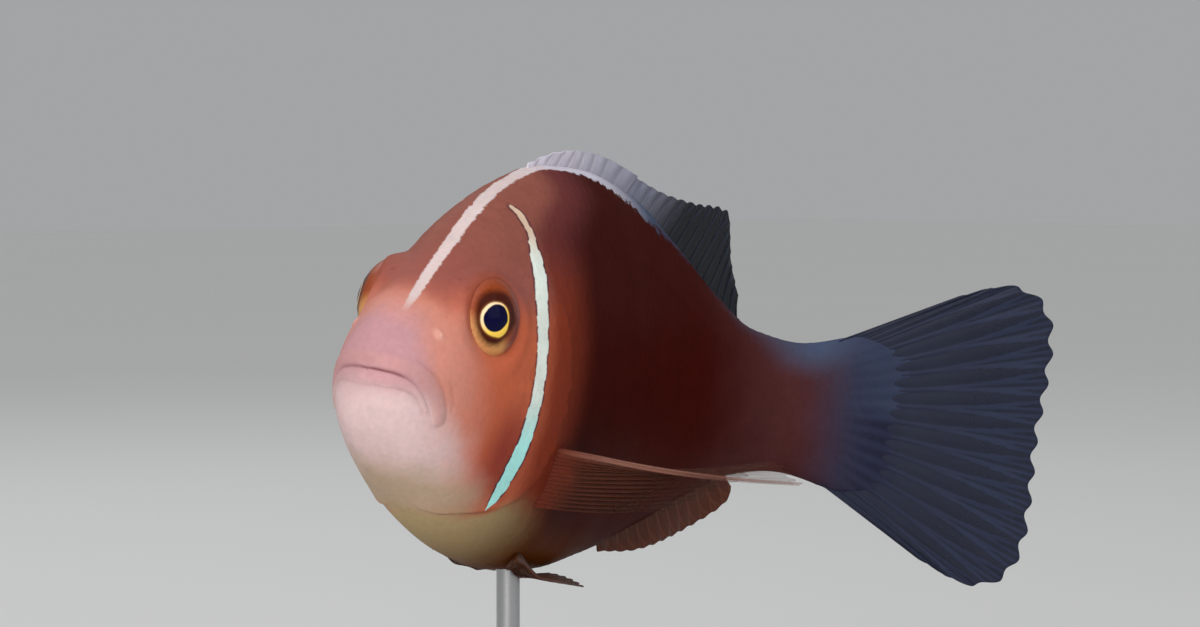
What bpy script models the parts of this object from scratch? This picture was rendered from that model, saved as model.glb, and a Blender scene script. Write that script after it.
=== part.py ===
"""Pink skunk clownfish, life size, held by a rod over a flat display base.

The fish is first drawn straight, in a frame of its own: the tip of the snout is the
origin, +X runs back to the tail, -Y is the fish's left and +Z is up.  The spine is then
curved to the left, and one empty turns and lifts the whole fish over its stand.
Stations along the body and the shapes of the fins are fractions of the standard length.
"""
import math

import bmesh
import bpy
import numpy as np
from mathutils import Euler, Vector

# Driving dimensions, in metres and degrees
STANDARD_LENGTH = 0.076
GAP = 0.0003
TRUNK_BEND = 23.6
STALK_BEND = 43.4
YAW = 30.0
NOSE_UP = 5.7
BANK_LEFT = 7.0
SNOUT_HEIGHT = 0.056
ROD_STATION = 0.445

BASE_LENGTH = 0.084
BASE_WIDTH = 0.050
BASE_THICKNESS = 0.006
BASE_CORNER_RADIUS = 0.006
BASE_EDGE_BEVEL = 0.0008
ROD_RADIUS = 0.0010
ROD_COLLAR_RADIUS = 0.0030
ROD_COLLAR_HEIGHT = 0.0016

FIN_EDGE_THICKNESS = 0.00055
FIN_ROOT_THICKNESS = 0.00110

# Where the spine bends: start and length of each bend, as fractions of the length
TRUNK_BEND_SPAN = (0.30, 0.50)
STALK_BEND_SPAN = (0.78, 0.24)

# The body's outline: distance from the snout, then height or half width there
BACK = ((0.0, 0.0), (0.012, 0.032), (0.035, 0.056), (0.075, 0.086), (0.13, 0.125),
        (0.205, 0.177), (0.29, 0.215), (0.38, 0.238), (0.48, 0.243), (0.58, 0.229),
        (0.68, 0.185), (0.78, 0.128), (0.86, 0.093), (0.92, 0.086), (1.0, 0.106))
BELLY = ((0.0, 0.0), (0.012, -0.037), (0.035, -0.068), (0.075, -0.101), (0.13, -0.135),
         (0.205, -0.171), (0.29, -0.197), (0.38, -0.211), (0.48, -0.213), (0.58, -0.196),
         (0.68, -0.161), (0.78, -0.116), (0.86, -0.086), (0.92, -0.078), (1.0, -0.092))
HALF_WIDTH = ((0.0, 0.0), (0.012, 0.030), (0.035, 0.049), (0.075, 0.065), (0.13, 0.078),
              (0.205, 0.089), (0.29, 0.097), (0.38, 0.100), (0.48, 0.096), (0.58, 0.083),
              (0.68, 0.066), (0.78, 0.047), (0.86, 0.034), (0.93, 0.025), (1.0, 0.017))
WIDEST_HEIGHT = ((0.0, 0.0), (0.04, -0.011), (0.13, -0.011), (0.21, 0.0), (0.38, 0.008),
                 (0.68, 0.004), (1.0, 0.0))
# Roundness of the section above and below its widest height: 2 is an ellipse
UPPER_ROUNDNESS = ((0.0, 2.0), (0.08, 2.0), (0.2, 1.92), (0.3, 1.82), (0.58, 1.75), (1.0, 2.0))
LOWER_ROUNDNESS = ((0.0, 2.05), (0.08, 2.25), (0.2, 2.12), (0.38, 2.0), (0.58, 1.87), (1.0, 2.0))

# Cuts between the lengths of the body, from the snout
GILL_CUT_BACK = 0.286
GILL_CUT_SIDE = 0.303
GILL_CUT_THROAT = 0.262
STALK_START = 0.815
STALK_END = 0.985
RING_SIDES = 40
HEAD_RINGS = 15
TRUNK_RINGS = 17
STALK_RINGS = 7

# Eye: centre (its distance to each side is positive), half breadth and half depth
EYE_CENTRE = (0.1425, 0.0495, 0.064)
EYE_HALF_BREADTH = 0.0425
EYE_HALF_DEPTH = 0.030
EYE_TURN_FORWARD = 14.0
EYE_TURN_UP = 10.0

# Mouth line falls from the lips to the corner, and the jaw ends under the corner
MOUTH_CORNER = (0.080, -0.055)
CHIN_REAR = (0.108, -0.135)

# Gill cover: a plate in the side of the head, with a half oval front edge, that ends
# with the head at the gill opening
GILL_COVER_REAR = (0.290, -0.030)
GILL_COVER_LENGTH = 0.082
GILL_COVER_HALF_HEIGHT = 0.104
GILL_COVER_INNER_FACE = 0.062
GILL_COVER_SIDES = 20

# Roots of the paired fins: distance and height on the side, and two points by the belly
PECTORAL_ROOT_TOP = (0.318, -0.062)
PECTORAL_ROOT_BOTTOM = (0.314, -0.128)
PELVIC_ROOT = ((0.350, 0.048, -0.2055), (0.378, 0.026, -0.2170))


def metres(fraction):
    return np.asarray(fraction, dtype=float) * STANDARD_LENGTH


def smooth_profile(points):
    """A curve through the points with no overshoot: cubic pieces over the root of the
    distance, so that it leaves the snout square on and the nose is round."""
    data = np.array(points)
    root = np.sqrt(data[:, 0])
    value = data[:, 1]
    step = np.diff(root)
    rise = np.diff(value) / step
    slope = np.zeros(len(root))
    same_way = rise[:-1] * rise[1:] > 0.0
    weight_a = 2.0 * step[1:] + step[:-1]
    weight_b = step[1:] + 2.0 * step[:-1]
    safe_a = np.where(same_way, rise[:-1], 1.0)
    safe_b = np.where(same_way, rise[1:], 1.0)
    mean = (weight_a + weight_b) / (weight_a / safe_a + weight_b / safe_b)
    slope[1:-1] = np.where(same_way, mean, 0.0)
    slope[0] = rise[0]
    slope[-1] = rise[-1]

    def curve(distance):
        at = np.sqrt(np.clip(distance, 0.0, 1.0))
        i = np.clip(np.searchsorted(root, at) - 1, 0, len(step) - 1)
        h = step[i]
        t = (at - root[i]) / h
        start = value[i] * (1.0 + 2.0 * t) * (1.0 - t) ** 2 + h * slope[i] * t * (1.0 - t) ** 2
        end = value[i + 1] * t * t * (3.0 - 2.0 * t) + h * slope[i + 1] * t * t * (t - 1.0)
        return start + end

    return curve


back = smooth_profile(BACK)
belly = smooth_profile(BELLY)
half_width = smooth_profile(HALF_WIDTH)
widest_height = smooth_profile(WIDEST_HEIGHT)
upper_roundness = smooth_profile(UPPER_ROUNDNESS)
lower_roundness = smooth_profile(LOWER_ROUNDNESS)


def body_point(distance, angle, grow=0.0):
    """Straight body, as fractions of the length: angle 0 is the ridge of the back, a
    quarter turn is the fish's left side, half a turn the belly.  The section is a
    superellipse with its own roundness above and below."""
    sine = np.sin(angle)
    cosine = np.cos(angle)
    upper = cosine >= 0.0
    power = 2.0 / np.where(upper, upper_roundness(distance), lower_roundness(distance))
    middle = widest_height(distance)
    reach = np.where(upper, back(distance) - middle, middle - belly(distance))
    across = half_width(distance) + grow
    y = -across * np.sign(sine) * np.abs(sine) ** power
    z = middle + (reach + grow) * np.sign(cosine) * np.abs(cosine) ** power
    return np.stack([distance + 0.0 * angle, y, z], axis=-1)


def side_reach(distance, height):
    """Half width of the body at a height below its widest: the section's superellipse."""
    middle = widest_height(distance)
    power = lower_roundness(distance)
    share = (middle - height) / (middle - belly(distance))
    return float(half_width(distance) * (1.0 - share ** power) ** (1.0 / power))


def ease(value):
    t = np.clip(value, 0.0, 1.0)
    return t * t * (3.0 - 2.0 * t)


def bend(points):
    """Carries straight points onto the curved spine: the heading turns by two eased
    bends, and the spine is the running sum of its heading."""
    along = np.linspace(0.0, 1.4, 1401)
    turn = math.radians(TRUNK_BEND) * ease((along - TRUNK_BEND_SPAN[0]) / TRUNK_BEND_SPAN[1])
    turn += math.radians(STALK_BEND) * ease((along - STALK_BEND_SPAN[0]) / STALK_BEND_SPAN[1])
    step = along[1] - along[0]
    spine_x = np.concatenate([[0.0], np.cumsum(np.cos(turn[:-1])) * step])
    spine_y = np.concatenate([[0.0], np.cumsum(-np.sin(turn[:-1])) * step])
    s = points[..., 0]
    heading = np.interp(s, along, turn)
    x = np.interp(s, along, spine_x) + points[..., 1] * np.sin(heading)
    y = np.interp(s, along, spine_y) + points[..., 1] * np.cos(heading)
    return np.stack([x, y, points[..., 2]], axis=-1)


def paint(obj, color, roughness, metallic=0.0):
    material = bpy.data.materials.new(obj.name)
    material.use_nodes = True
    shader = material.node_tree.nodes["Principled BSDF"]
    shader.inputs["Base Color"].default_value = (*color, 1.0)
    shader.inputs["Roughness"].default_value = roughness
    shader.inputs["Metallic"].default_value = metallic
    obj.data.materials.append(material)


def add_mesh(name, vertices, faces, parent=None):
    """A mesh object from metres, smooth except at sharp edges, faces turned outward."""
    mesh = bpy.data.meshes.new(name)
    mesh.from_pydata([tuple(v) for v in vertices], [], faces)
    work = bmesh.new()
    work.from_mesh(mesh)
    bmesh.ops.recalc_face_normals(work, faces=work.faces)
    work.to_mesh(mesh)
    work.free()
    mesh.shade_smooth()
    mesh.set_sharp_from_angle(angle=math.radians(50.0))
    obj = bpy.data.objects.new(name, mesh)
    bpy.context.collection.objects.link(obj)
    obj.parent = parent
    return obj


def band(row, columns, next_row):
    """Quads between two closed rings of points, numbered from row and next_row."""
    following = [(j + 1) % columns for j in range(columns)]
    return [(row + j, row + following[j], next_row + following[j], next_row + j)
            for j in range(columns)]


def body_length(name, start, end, rings, parent, grow=0.0):
    """One length of the body between two cuts, each a function of the angle.  A start of
    None closes on the tip of the snout; a cut end is closed by a fan round its middle."""
    angle = np.linspace(0.0, 2.0 * math.pi, RING_SIDES, endpoint=False)
    if start is None:
        share = np.arange(1, rings + 1) / rings
        share = 0.20 * share + 0.80 * share ** 2
        first = np.zeros(RING_SIDES)
        tip = np.array([[-grow, 0.0, 0.0]])
    else:
        share = np.arange(rings + 1) / rings
        first = start(angle)
        tip = None
    distance = first + share[:, None] * (end(angle) - first)
    grid = body_point(distance, angle[None, :], grow)
    if tip is None:
        tip = grid[:1].mean(axis=1)
    tail = grid[-1:].mean(axis=1)
    points = np.concatenate([tip, grid.reshape(-1, 3), tail])
    vertices = metres(bend(points))
    faces = []
    for ring in range(len(grid) - 1):
        faces += band(1 + ring * RING_SIDES, RING_SIDES, 1 + (ring + 1) * RING_SIDES)
    last = 1 + (len(grid) - 1) * RING_SIDES
    for j in range(RING_SIDES):
        following = (j + 1) % RING_SIDES
        faces.append((0, 1 + following, 1 + j))
        faces.append((last + j, last + following, len(vertices) - 1))
    return add_mesh(name, vertices, faces, parent)


def gill_cut(angle):
    """The head ends in a curve that swells back on each side, as the gill opening does."""
    side = np.sin(angle) ** 2
    middle = np.where(np.cos(angle) > 0.0, GILL_CUT_BACK, GILL_CUT_THROAT)
    return middle + (GILL_CUT_SIDE - middle) * side


def cut_at(distance):
    return lambda angle: np.full(np.shape(angle), distance)


def gap_after(cut):
    return lambda angle: cut(angle) + GAP / STANDARD_LENGTH


def use_as_cutter(obj):
    obj.hide_render = True
    obj.display_type = "WIRE"


def boolean(obj, cutter, operation):
    modifier = obj.modifiers.new(operation.title(), "BOOLEAN")
    modifier.operation = operation
    modifier.solver = "EXACT"
    modifier.object = cutter


def prism(name, outline, side, inner, outer, parent):
    """A cutter: an outline of (x, z) fractions carried across the body from inner to
    outer, both measured outward on one side (-1 is the fish's left)."""
    count = len(outline)
    points = [(x, side * depth, z) for depth in (inner, outer) for x, z in outline]
    faces = [tuple(range(count)), tuple(range(2 * count - 1, count - 1, -1))]
    faces += band(0, count, count)
    obj = add_mesh(name, metres(points), faces, parent)
    use_as_cutter(obj)
    return obj


def ellipsoid(name, half_sizes, parent, grow=0.0):
    """A sphere stretched to its half sizes, long way round its own Y axis."""
    work = bmesh.new()
    bmesh.ops.create_uvsphere(work, u_segments=20, v_segments=12, radius=1.0)
    for vertex in work.verts:
        vertex.co.x *= half_sizes[0] + grow
        vertex.co.y, vertex.co.z = vertex.co.z, vertex.co.y
        vertex.co.y *= half_sizes[1] + grow
        vertex.co.z *= half_sizes[2] + grow
    vertices = [tuple(vertex.co) for vertex in work.verts]
    faces = [tuple(vertex.index for vertex in face.verts) for face in work.faces]
    work.free()
    return add_mesh(name, vertices, faces, parent)


def eye_pieces(parent):
    """Each eye is a flattened ball turned a little forward and up, in its own socket."""
    sizes = [metres(EYE_HALF_BREADTH), metres(EYE_HALF_DEPTH), metres(EYE_HALF_BREADTH)]
    sockets = []
    for name, side in (("eye_left", -1.0), ("eye_right", 1.0)):
        eye = ellipsoid(name, sizes, parent)
        socket = ellipsoid(name + "_socket", sizes, parent, GAP)
        use_as_cutter(socket)
        for piece in (eye, socket):
            piece.location = metres([EYE_CENTRE[0], side * EYE_CENTRE[1], EYE_CENTRE[2]])
            turn_up = side * math.radians(EYE_TURN_UP)
            turn_forward = side * math.radians(EYE_TURN_FORWARD)
            piece.rotation_euler = (turn_up, 0.0, turn_forward)
        paint(eye, (0.25, 0.12, 0.05), 0.2)
        sockets.append(socket)
    return sockets


def jaw_outline(margin):
    """The lower jaw in side view: under the mouth line and ahead of the chin's rear."""
    corner_x, corner_z = MOUTH_CORNER
    slope = corner_z / corner_x
    shift = margin * math.hypot(1.0, slope)
    front = -0.05
    rear_shift = margin / math.cos(math.atan2(CHIN_REAR[0] - corner_x, corner_z - CHIN_REAR[1]))
    return [(front, slope * front + shift), (corner_x + rear_shift, slope * corner_x + shift),
            (CHIN_REAR[0] + rear_shift, CHIN_REAR[1]), (front, CHIN_REAR[1])]


def gill_outline(margin):
    """Side view of a gill cover: a half oval front, and a rear well past the head."""
    angle = np.linspace(0.5 * math.pi, 1.5 * math.pi, GILL_COVER_SIDES)
    rear_x, middle_z = GILL_COVER_REAR
    half_height = GILL_COVER_HALF_HEIGHT + margin
    x = rear_x + (GILL_COVER_LENGTH + margin) * np.cos(angle)
    z = middle_z + half_height * np.sin(angle)
    past = rear_x + 0.06
    return list(zip(x, z)) + [(past, middle_z - half_height), (past, middle_z + half_height)]


def head_pieces(parent):
    """The head, cut from the front of the body, with sockets for the eyes, the lower jaw
    parted along the mouth and a gill cover let into each side."""
    thin = GAP / STANDARD_LENGTH
    head = body_length("head", None, gill_cut, HEAD_RINGS, parent)
    jaw = body_length("lower_jaw", None, gill_cut, HEAD_RINGS, parent)
    boolean(jaw, prism("jaw_shape", jaw_outline(0.0), 1.0, -0.2, 0.2, parent), "INTERSECT")
    boolean(head, prism("jaw_room", jaw_outline(thin), 1.0, -0.2, 0.2, parent), "DIFFERENCE")
    for name, side in (("gill_cover_left", -1.0), ("gill_cover_right", 1.0)):
        cover = body_length(name, None, gill_cut, HEAD_RINGS, parent)
        shape = prism(name + "_shape", gill_outline(0.0), side, GILL_COVER_INNER_FACE, 0.2, parent)
        room = prism(name + "_room", gill_outline(thin), side, GILL_COVER_INNER_FACE - thin, 0.2,
                     parent)
        boolean(cover, shape, "INTERSECT")
        boolean(head, room, "DIFFERENCE")
        paint(cover, (0.42, 0.13, 0.08), 0.4)
    for socket in eye_pieces(parent):
        boolean(head, socket, "DIFFERENCE")
    paint(head, (0.62, 0.32, 0.30), 0.4)
    paint(jaw, (0.66, 0.42, 0.40), 0.4)


def trunk_pieces(parent):
    trunk = body_length("trunk", gap_after(gill_cut), cut_at(STALK_START), TRUNK_RINGS, parent)
    stalk = body_length("tail_stalk", gap_after(cut_at(STALK_START)), cut_at(STALK_END),
                        STALK_RINGS, parent)
    paint(trunk, (0.24, 0.07, 0.04), 0.4)
    paint(stalk, (0.30, 0.14, 0.12), 0.4)


def blade(name, rays, parent, color, root_thickness=FIN_ROOT_THICKNESS):
    """A fin as one closed plate: rays is a grid of points, one row for each ray from its
    root to its tip.  Each side stands off along the surface's own normal by half the
    thickness, which thins from the root to the edge."""
    across = np.gradient(rays, axis=0)
    outward = np.gradient(rays, axis=1)
    normal = np.cross(across, outward)
    normal /= np.linalg.norm(normal, axis=2, keepdims=True)
    share = np.linspace(0.0, 1.0, rays.shape[1])[None, :, None]
    half = 0.5 * (root_thickness + (FIN_EDGE_THICKNESS - root_thickness) * ease(2.0 * share))
    front = (rays + normal * half).reshape(-1, 3)
    rear = (rays - normal * half).reshape(-1, 3)
    count, length = rays.shape[:2]
    rows = np.arange(count * length).reshape(count, length)
    faces = []
    for i in range(count - 1):
        for j in range(length - 1):
            quad = (rows[i, j], rows[i + 1, j], rows[i + 1, j + 1], rows[i, j + 1])
            faces.append(tuple(int(k) for k in quad))
            faces.append(tuple(int(k) + count * length for k in quad[::-1]))
    rim = list(rows[:, 0]) + list(rows[-1, 1:]) + list(rows[-2::-1, -1]) + list(rows[0, -2:0:-1])
    for here, there in zip(rim, rim[1:] + rim[:1]):
        here = int(here)
        there = int(there)
        faces.append((here, there, there + count * length, here + count * length))
    fin = add_mesh(name, np.concatenate([front, rear]), faces, parent)
    paint(fin, color, 0.35)
    return fin


def median_fin(roots, tips, steps):
    """Rays in the fish's middle plane, each straight from its root to its tip."""
    share = np.linspace(0.0, 1.0, steps)[None, :, None]
    flat = roots[:, None, :] + (tips - roots)[:, None, :] * share
    points = np.stack([flat[..., 0], 0.0 * flat[..., 0], flat[..., 1]], axis=-1)
    return metres(bend(points))


def along_curve(points, count):
    """Even points on a smooth curve through the given ones, by arc length."""
    data = np.array(points, dtype=float)
    knots = np.arange(len(data), dtype=float)
    tangent = np.gradient(data, axis=0)
    fine = np.linspace(0.0, len(data) - 1.0, 40 * len(data))
    i = np.minimum(fine.astype(int), len(data) - 2)
    t = (fine - knots[i])[:, None]
    curve = (data[i] * (1.0 + 2.0 * t) * (1.0 - t) ** 2 + tangent[i] * t * (1.0 - t) ** 2
             + data[i + 1] * t * t * (3.0 - 2.0 * t) + tangent[i + 1] * t * t * (t - 1.0))
    travelled = np.concatenate([[0.0], np.cumsum(np.linalg.norm(np.diff(curve, axis=0), axis=1))])
    at = np.linspace(0.0, travelled[-1], count)
    return np.stack([np.interp(at, travelled, curve[:, k]) for k in range(2)], axis=1)


def fin_root(distance, outline, side):
    """Root points on the back (side 1) or belly (side -1), a gap off the body."""
    return np.stack([distance, outline(distance) + side * 1.4 * GAP / STANDARD_LENGTH], axis=1)


def dorsal_fins(parent):
    """The spines lie low along the back; the soft rays behind them stand higher."""
    front = fin_root(np.linspace(0.325, 0.572, 14), back, 1.0)
    front_edge = along_curve([(0.345, 0.236), (0.40, 0.254), (0.46, 0.263), (0.53, 0.264),
                              (0.592, 0.252)], 14)
    blade("dorsal_fin_spiny", median_fin(front, front_edge, 3), parent, (0.62, 0.58, 0.60))
    rear = fin_root(np.linspace(0.580, 0.828, 18), back, 1.0)
    rear_edge = along_curve([(0.601, 0.250), (0.66, 0.237), (0.72, 0.233), (0.765, 0.235),
                             (0.788, 0.230), (0.796, 0.205), (0.802, 0.170), (0.820, 0.128)],
                            18)
    blade("dorsal_fin_soft", median_fin(rear, rear_edge, 6), parent, (0.30, 0.33, 0.40))


def anal_fin(parent):
    root = fin_root(np.linspace(0.625, 0.838, 16), belly, -1.0)
    edge = along_curve([(0.640, -0.193), (0.70, -0.189), (0.77, -0.170), (0.82, -0.147),
                        (0.852, -0.122), (0.856, -0.102)], 16)
    blade("anal_fin", median_fin(root, edge, 4), parent, (0.35, 0.22, 0.18))


def tail_fin(parent):
    """Rays fan from the end of the stalk to a nearly straight rear edge with round
    corners, the upper half the mirror of the lower."""
    start = STALK_END + 1.2 * GAP / STANDARD_LENGTH
    half_root = 0.5 * (back(STALK_END) - belly(STALK_END))
    centre = 0.5 * (back(STALK_END) + belly(STALK_END))
    count = 21
    side = np.linspace(-1.0, 1.0, count)
    roots = np.stack([np.full(count, start), centre + half_root * side], axis=1)
    corner = along_curve([(1.243, 0.0), (1.246, 0.070), (1.244, 0.135), (1.225, 0.176),
                          (1.180, 0.190), (1.115, 0.166)], (count + 1) // 2)
    lower = corner[:0:-1] * (1.0, -1.0)
    tips = np.concatenate([lower, corner]) + (0.0, centre)
    blade("tail_fin", median_fin(roots, tips, 8), parent, (0.33, 0.36, 0.42), 0.0014)


def paired_fin(name, side, root_top, root_bottom, fan, parent, color, count=15, steps=7):
    """A paired fin: roots on a line from root_top to root_bottom, and each ray runs the
    way and the length that fan gives for its share across the fin, bowing back and up
    as it goes.  Points are (x, outward, z) fractions; side -1 is the fish's left."""
    share = np.linspace(0.0, 1.0, count)
    roots = np.array(root_top) + share[:, None] * (np.array(root_bottom) - root_top)
    sweep, rise, length, lift = fan(share)
    direction = np.stack([np.sin(sweep) * np.cos(rise), np.cos(sweep) * np.cos(rise),
                          np.sin(rise)], axis=1)
    along = np.linspace(0.0, 1.0, steps)[None, :, None]
    points = roots[:, None, :] + direction[:, None, :] * length[:, None, None] * along
    points[..., 0] += 0.10 * length[:, None] * along[..., 0] ** 2
    points[..., 2] += lift * length[:, None] * along[..., 0] ** 2
    points[..., 1] *= side
    blade(name, metres(points), parent, color)


def pectoral_fan(sweep_top, sweep_bottom, rise_top, rise_bottom, wave, lift):
    """Fan of a pectoral fin: the longest rays are near the top, the lowest are short,
    and the first is cut back a little so that the tip is round.  A waving fin has its
    first rays lower than the next ones, by wave degrees."""
    def fan(share):
        sweep = np.radians(sweep_top + (sweep_bottom - sweep_top) * share ** 1.2)
        rise = np.radians(rise_top + (rise_bottom - rise_top) * share + wave * ease(share / 0.4))
        length = (0.165 + 0.090 * (1.0 - share) ** 0.9) * (1.0 - 0.04 * (1.0 - share) ** 9)
        return sweep, rise, length, lift
    return fan


def pelvic_fan(share):
    """Fan of a pelvic fin folded back under the belly, its outer ray the longest."""
    sweep = np.radians(88.0 + 3.0 * share)
    rise = np.radians(-7.0 + 7.0 * share)
    length = 0.190 - 0.060 * share ** 1.5
    return sweep, rise, length, 0.0


def paired_fins(parent):
    top, bottom = PECTORAL_ROOT_TOP, PECTORAL_ROOT_BOTTOM
    for name, side, standoff, fan in (
            ("pectoral_fin_left", -1.0, 0.010,
             pectoral_fan(23.0, 58.0, -6.0, -16.0, 14.0, 0.10)),
            ("pectoral_fin_right", 1.0, 0.013,
             pectoral_fan(68.0, 74.0, 10.0, -22.0, 0.0, 0.0))):
        paired_fin(name, side, (top[0], side_reach(*top) + standoff, top[1]),
                   (bottom[0], side_reach(*bottom) + standoff, bottom[1]), fan, parent,
                   (0.50, 0.30, 0.24))
    for name, side in (("pelvic_fin_left", -1.0), ("pelvic_fin_right", 1.0)):
        paired_fin(name, side, *PELVIC_ROOT, pelvic_fan, parent, (0.50, 0.36, 0.24), count=8,
                   steps=6)


def stand_base():
    """A flat block with rounded corners and a small bevel round its top and bottom."""
    work = bmesh.new()
    bmesh.ops.create_cube(work, size=1.0)
    for vertex in work.verts:
        vertex.co.x *= BASE_LENGTH
        vertex.co.y *= BASE_WIDTH
        vertex.co.z = (vertex.co.z + 0.5) * BASE_THICKNESS
    upright = [e for e in work.edges if abs(e.verts[0].co.z - e.verts[1].co.z) > 0.5 * BASE_THICKNESS]
    bmesh.ops.bevel(work, geom=upright, offset=BASE_CORNER_RADIUS, segments=6, profile=0.5,
                    affect="EDGES")
    vertices = [tuple(vertex.co) for vertex in work.verts]
    faces = [tuple(vertex.index for vertex in face.verts) for face in work.faces]
    work.free()
    base = add_mesh("stand_base", vertices, faces)
    edge = base.modifiers.new("Bevel", "BEVEL")
    edge.width = BASE_EDGE_BEVEL
    edge.segments = 2
    edge.limit_method = "ANGLE"
    edge.angle_limit = math.radians(60.0)
    paint(base, (0.13, 0.07, 0.04), 0.45)


def stand_rod(fish):
    """A turned rod with a low collar at its foot; its top is cut to the belly's form."""
    foot = BASE_THICKNESS + GAP
    sides = 16
    profile = ((ROD_COLLAR_RADIUS, foot), (ROD_COLLAR_RADIUS, foot + 0.7 * ROD_COLLAR_HEIGHT),
               (0.7 * ROD_COLLAR_RADIUS, foot + ROD_COLLAR_HEIGHT),
               (ROD_RADIUS, foot + ROD_COLLAR_HEIGHT + 0.0004),
               (ROD_RADIUS, SNOUT_HEIGHT))
    angle = np.linspace(0.0, 2.0 * math.pi, sides, endpoint=False)
    vertices = [(radius * math.cos(a), radius * math.sin(a), height)
                for radius, height in profile for a in angle]
    faces = [tuple(range(sides - 1, -1, -1))]
    for ring in range(len(profile) - 1):
        faces += band(ring * sides, sides, (ring + 1) * sides)
    faces.append(tuple(range((len(profile) - 1) * sides, len(profile) * sides)))
    rod = add_mesh("stand_rod", vertices, faces)
    clearance = body_length("belly_clearance", cut_at(0.34), cut_at(0.60), 12, fish,
                            GAP / STANDARD_LENGTH)
    use_as_cutter(clearance)
    boolean(rod, clearance, "DIFFERENCE")
    paint(rod, (0.62, 0.62, 0.62), 0.3, 1.0)


def main():
    for obj in list(bpy.data.objects):
        bpy.data.objects.remove(obj)
    fish = bpy.data.objects.new("fish_pose", None)
    bpy.context.collection.objects.link(fish)
    turn = Euler((math.radians(BANK_LEFT), math.radians(NOSE_UP), math.radians(YAW)))
    held = turn.to_matrix() @ Vector(metres(bend(body_point(ROD_STATION, math.pi))))
    fish.rotation_euler = turn
    fish.location = (-held.x, -held.y, SNOUT_HEIGHT)
    head_pieces(fish)
    trunk_pieces(fish)
    dorsal_fins(fish)
    anal_fin(fish)
    tail_fin(fish)
    paired_fins(fish)
    stand_base()
    stand_rod(fish)


main()
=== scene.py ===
"""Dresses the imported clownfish: one skin, scales, eyes and fins over its solids, a finish for
its display stand, and the stage that it is looked at on.

The fish is first worked out straight, in fractions of its standard length: x runs from the
snout to the tail, -y is the fish's left and z is up.  The spine is then bent and the whole
fish is turned and lifted over the stand, exactly as its solids are.
"""

import math
from collections import namedtuple

import bpy
import numpy as np
from mathutils import Euler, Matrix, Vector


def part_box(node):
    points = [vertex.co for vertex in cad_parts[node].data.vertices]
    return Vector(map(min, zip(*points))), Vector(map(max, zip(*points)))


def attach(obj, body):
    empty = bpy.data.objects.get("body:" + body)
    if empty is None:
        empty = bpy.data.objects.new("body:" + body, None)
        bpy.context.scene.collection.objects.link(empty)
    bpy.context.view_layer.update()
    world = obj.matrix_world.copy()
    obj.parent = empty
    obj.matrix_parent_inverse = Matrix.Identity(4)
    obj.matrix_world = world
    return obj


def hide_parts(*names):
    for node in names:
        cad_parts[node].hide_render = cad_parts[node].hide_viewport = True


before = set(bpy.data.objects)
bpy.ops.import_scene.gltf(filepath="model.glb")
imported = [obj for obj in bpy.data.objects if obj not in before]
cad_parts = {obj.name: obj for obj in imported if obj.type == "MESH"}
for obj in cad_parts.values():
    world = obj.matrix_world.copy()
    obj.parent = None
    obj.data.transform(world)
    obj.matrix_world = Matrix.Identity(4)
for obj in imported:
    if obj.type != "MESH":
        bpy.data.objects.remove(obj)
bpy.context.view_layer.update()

bl_info = {
    "name": "Clownfish display model",
    "version": (1, 0, 0),
    "blender": (4, 5, 0),
    "location": "3D View > Sidebar > Clownfish",
    "description": "Skin, scales, eyes, fins, stand and stage for a packed clownfish",
    "category": "Object",
}

# Driving dimensions of the solids, in metres and degrees
STANDARD_LENGTH = 0.076
TRUNK_BEND = 23.6
STALK_BEND = 43.4
TRUNK_BEND_SPAN = (0.30, 0.50)
STALK_BEND_SPAN = (0.78, 0.24)
SPINE_END = 1.4
SPINE_POINTS = 1401
YAW = 30.0
NOSE_UP = 5.7
BANK_LEFT = 7.0
SNOUT_HEIGHT = 0.056
ROD_STATION = 0.445

# The body's outline: distance from the snout, then height or half width there
BACK = ((0.0, 0.0), (0.012, 0.032), (0.035, 0.056), (0.075, 0.086), (0.13, 0.125),
        (0.205, 0.177), (0.29, 0.215), (0.38, 0.238), (0.48, 0.243), (0.58, 0.229),
        (0.68, 0.185), (0.78, 0.128), (0.86, 0.093), (0.92, 0.086), (1.0, 0.106))
BELLY = ((0.0, 0.0), (0.012, -0.037), (0.035, -0.068), (0.075, -0.101), (0.13, -0.135),
         (0.205, -0.171), (0.29, -0.197), (0.38, -0.211), (0.48, -0.213), (0.58, -0.196),
         (0.68, -0.161), (0.78, -0.116), (0.86, -0.086), (0.92, -0.078), (1.0, -0.092))
HALF_WIDTH = ((0.0, 0.0), (0.012, 0.030), (0.035, 0.049), (0.075, 0.065), (0.13, 0.078),
              (0.205, 0.089), (0.29, 0.097), (0.38, 0.100), (0.48, 0.096), (0.58, 0.083),
              (0.68, 0.066), (0.78, 0.047), (0.86, 0.034), (0.93, 0.025), (1.0, 0.017))
WIDEST_HEIGHT = ((0.0, 0.0), (0.04, -0.011), (0.13, -0.011), (0.21, 0.0), (0.38, 0.008),
                 (0.68, 0.004), (1.0, 0.0))
UPPER_ROUNDNESS = ((0.0, 2.0), (0.08, 2.0), (0.2, 1.92), (0.3, 1.82), (0.58, 1.75), (1.0, 2.0))
LOWER_ROUNDNESS = ((0.0, 2.05), (0.08, 2.25), (0.2, 2.12), (0.38, 2.0), (0.58, 1.87), (1.0, 2.0))
STALK_END = 0.985
HEAD_END = 0.30

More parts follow.
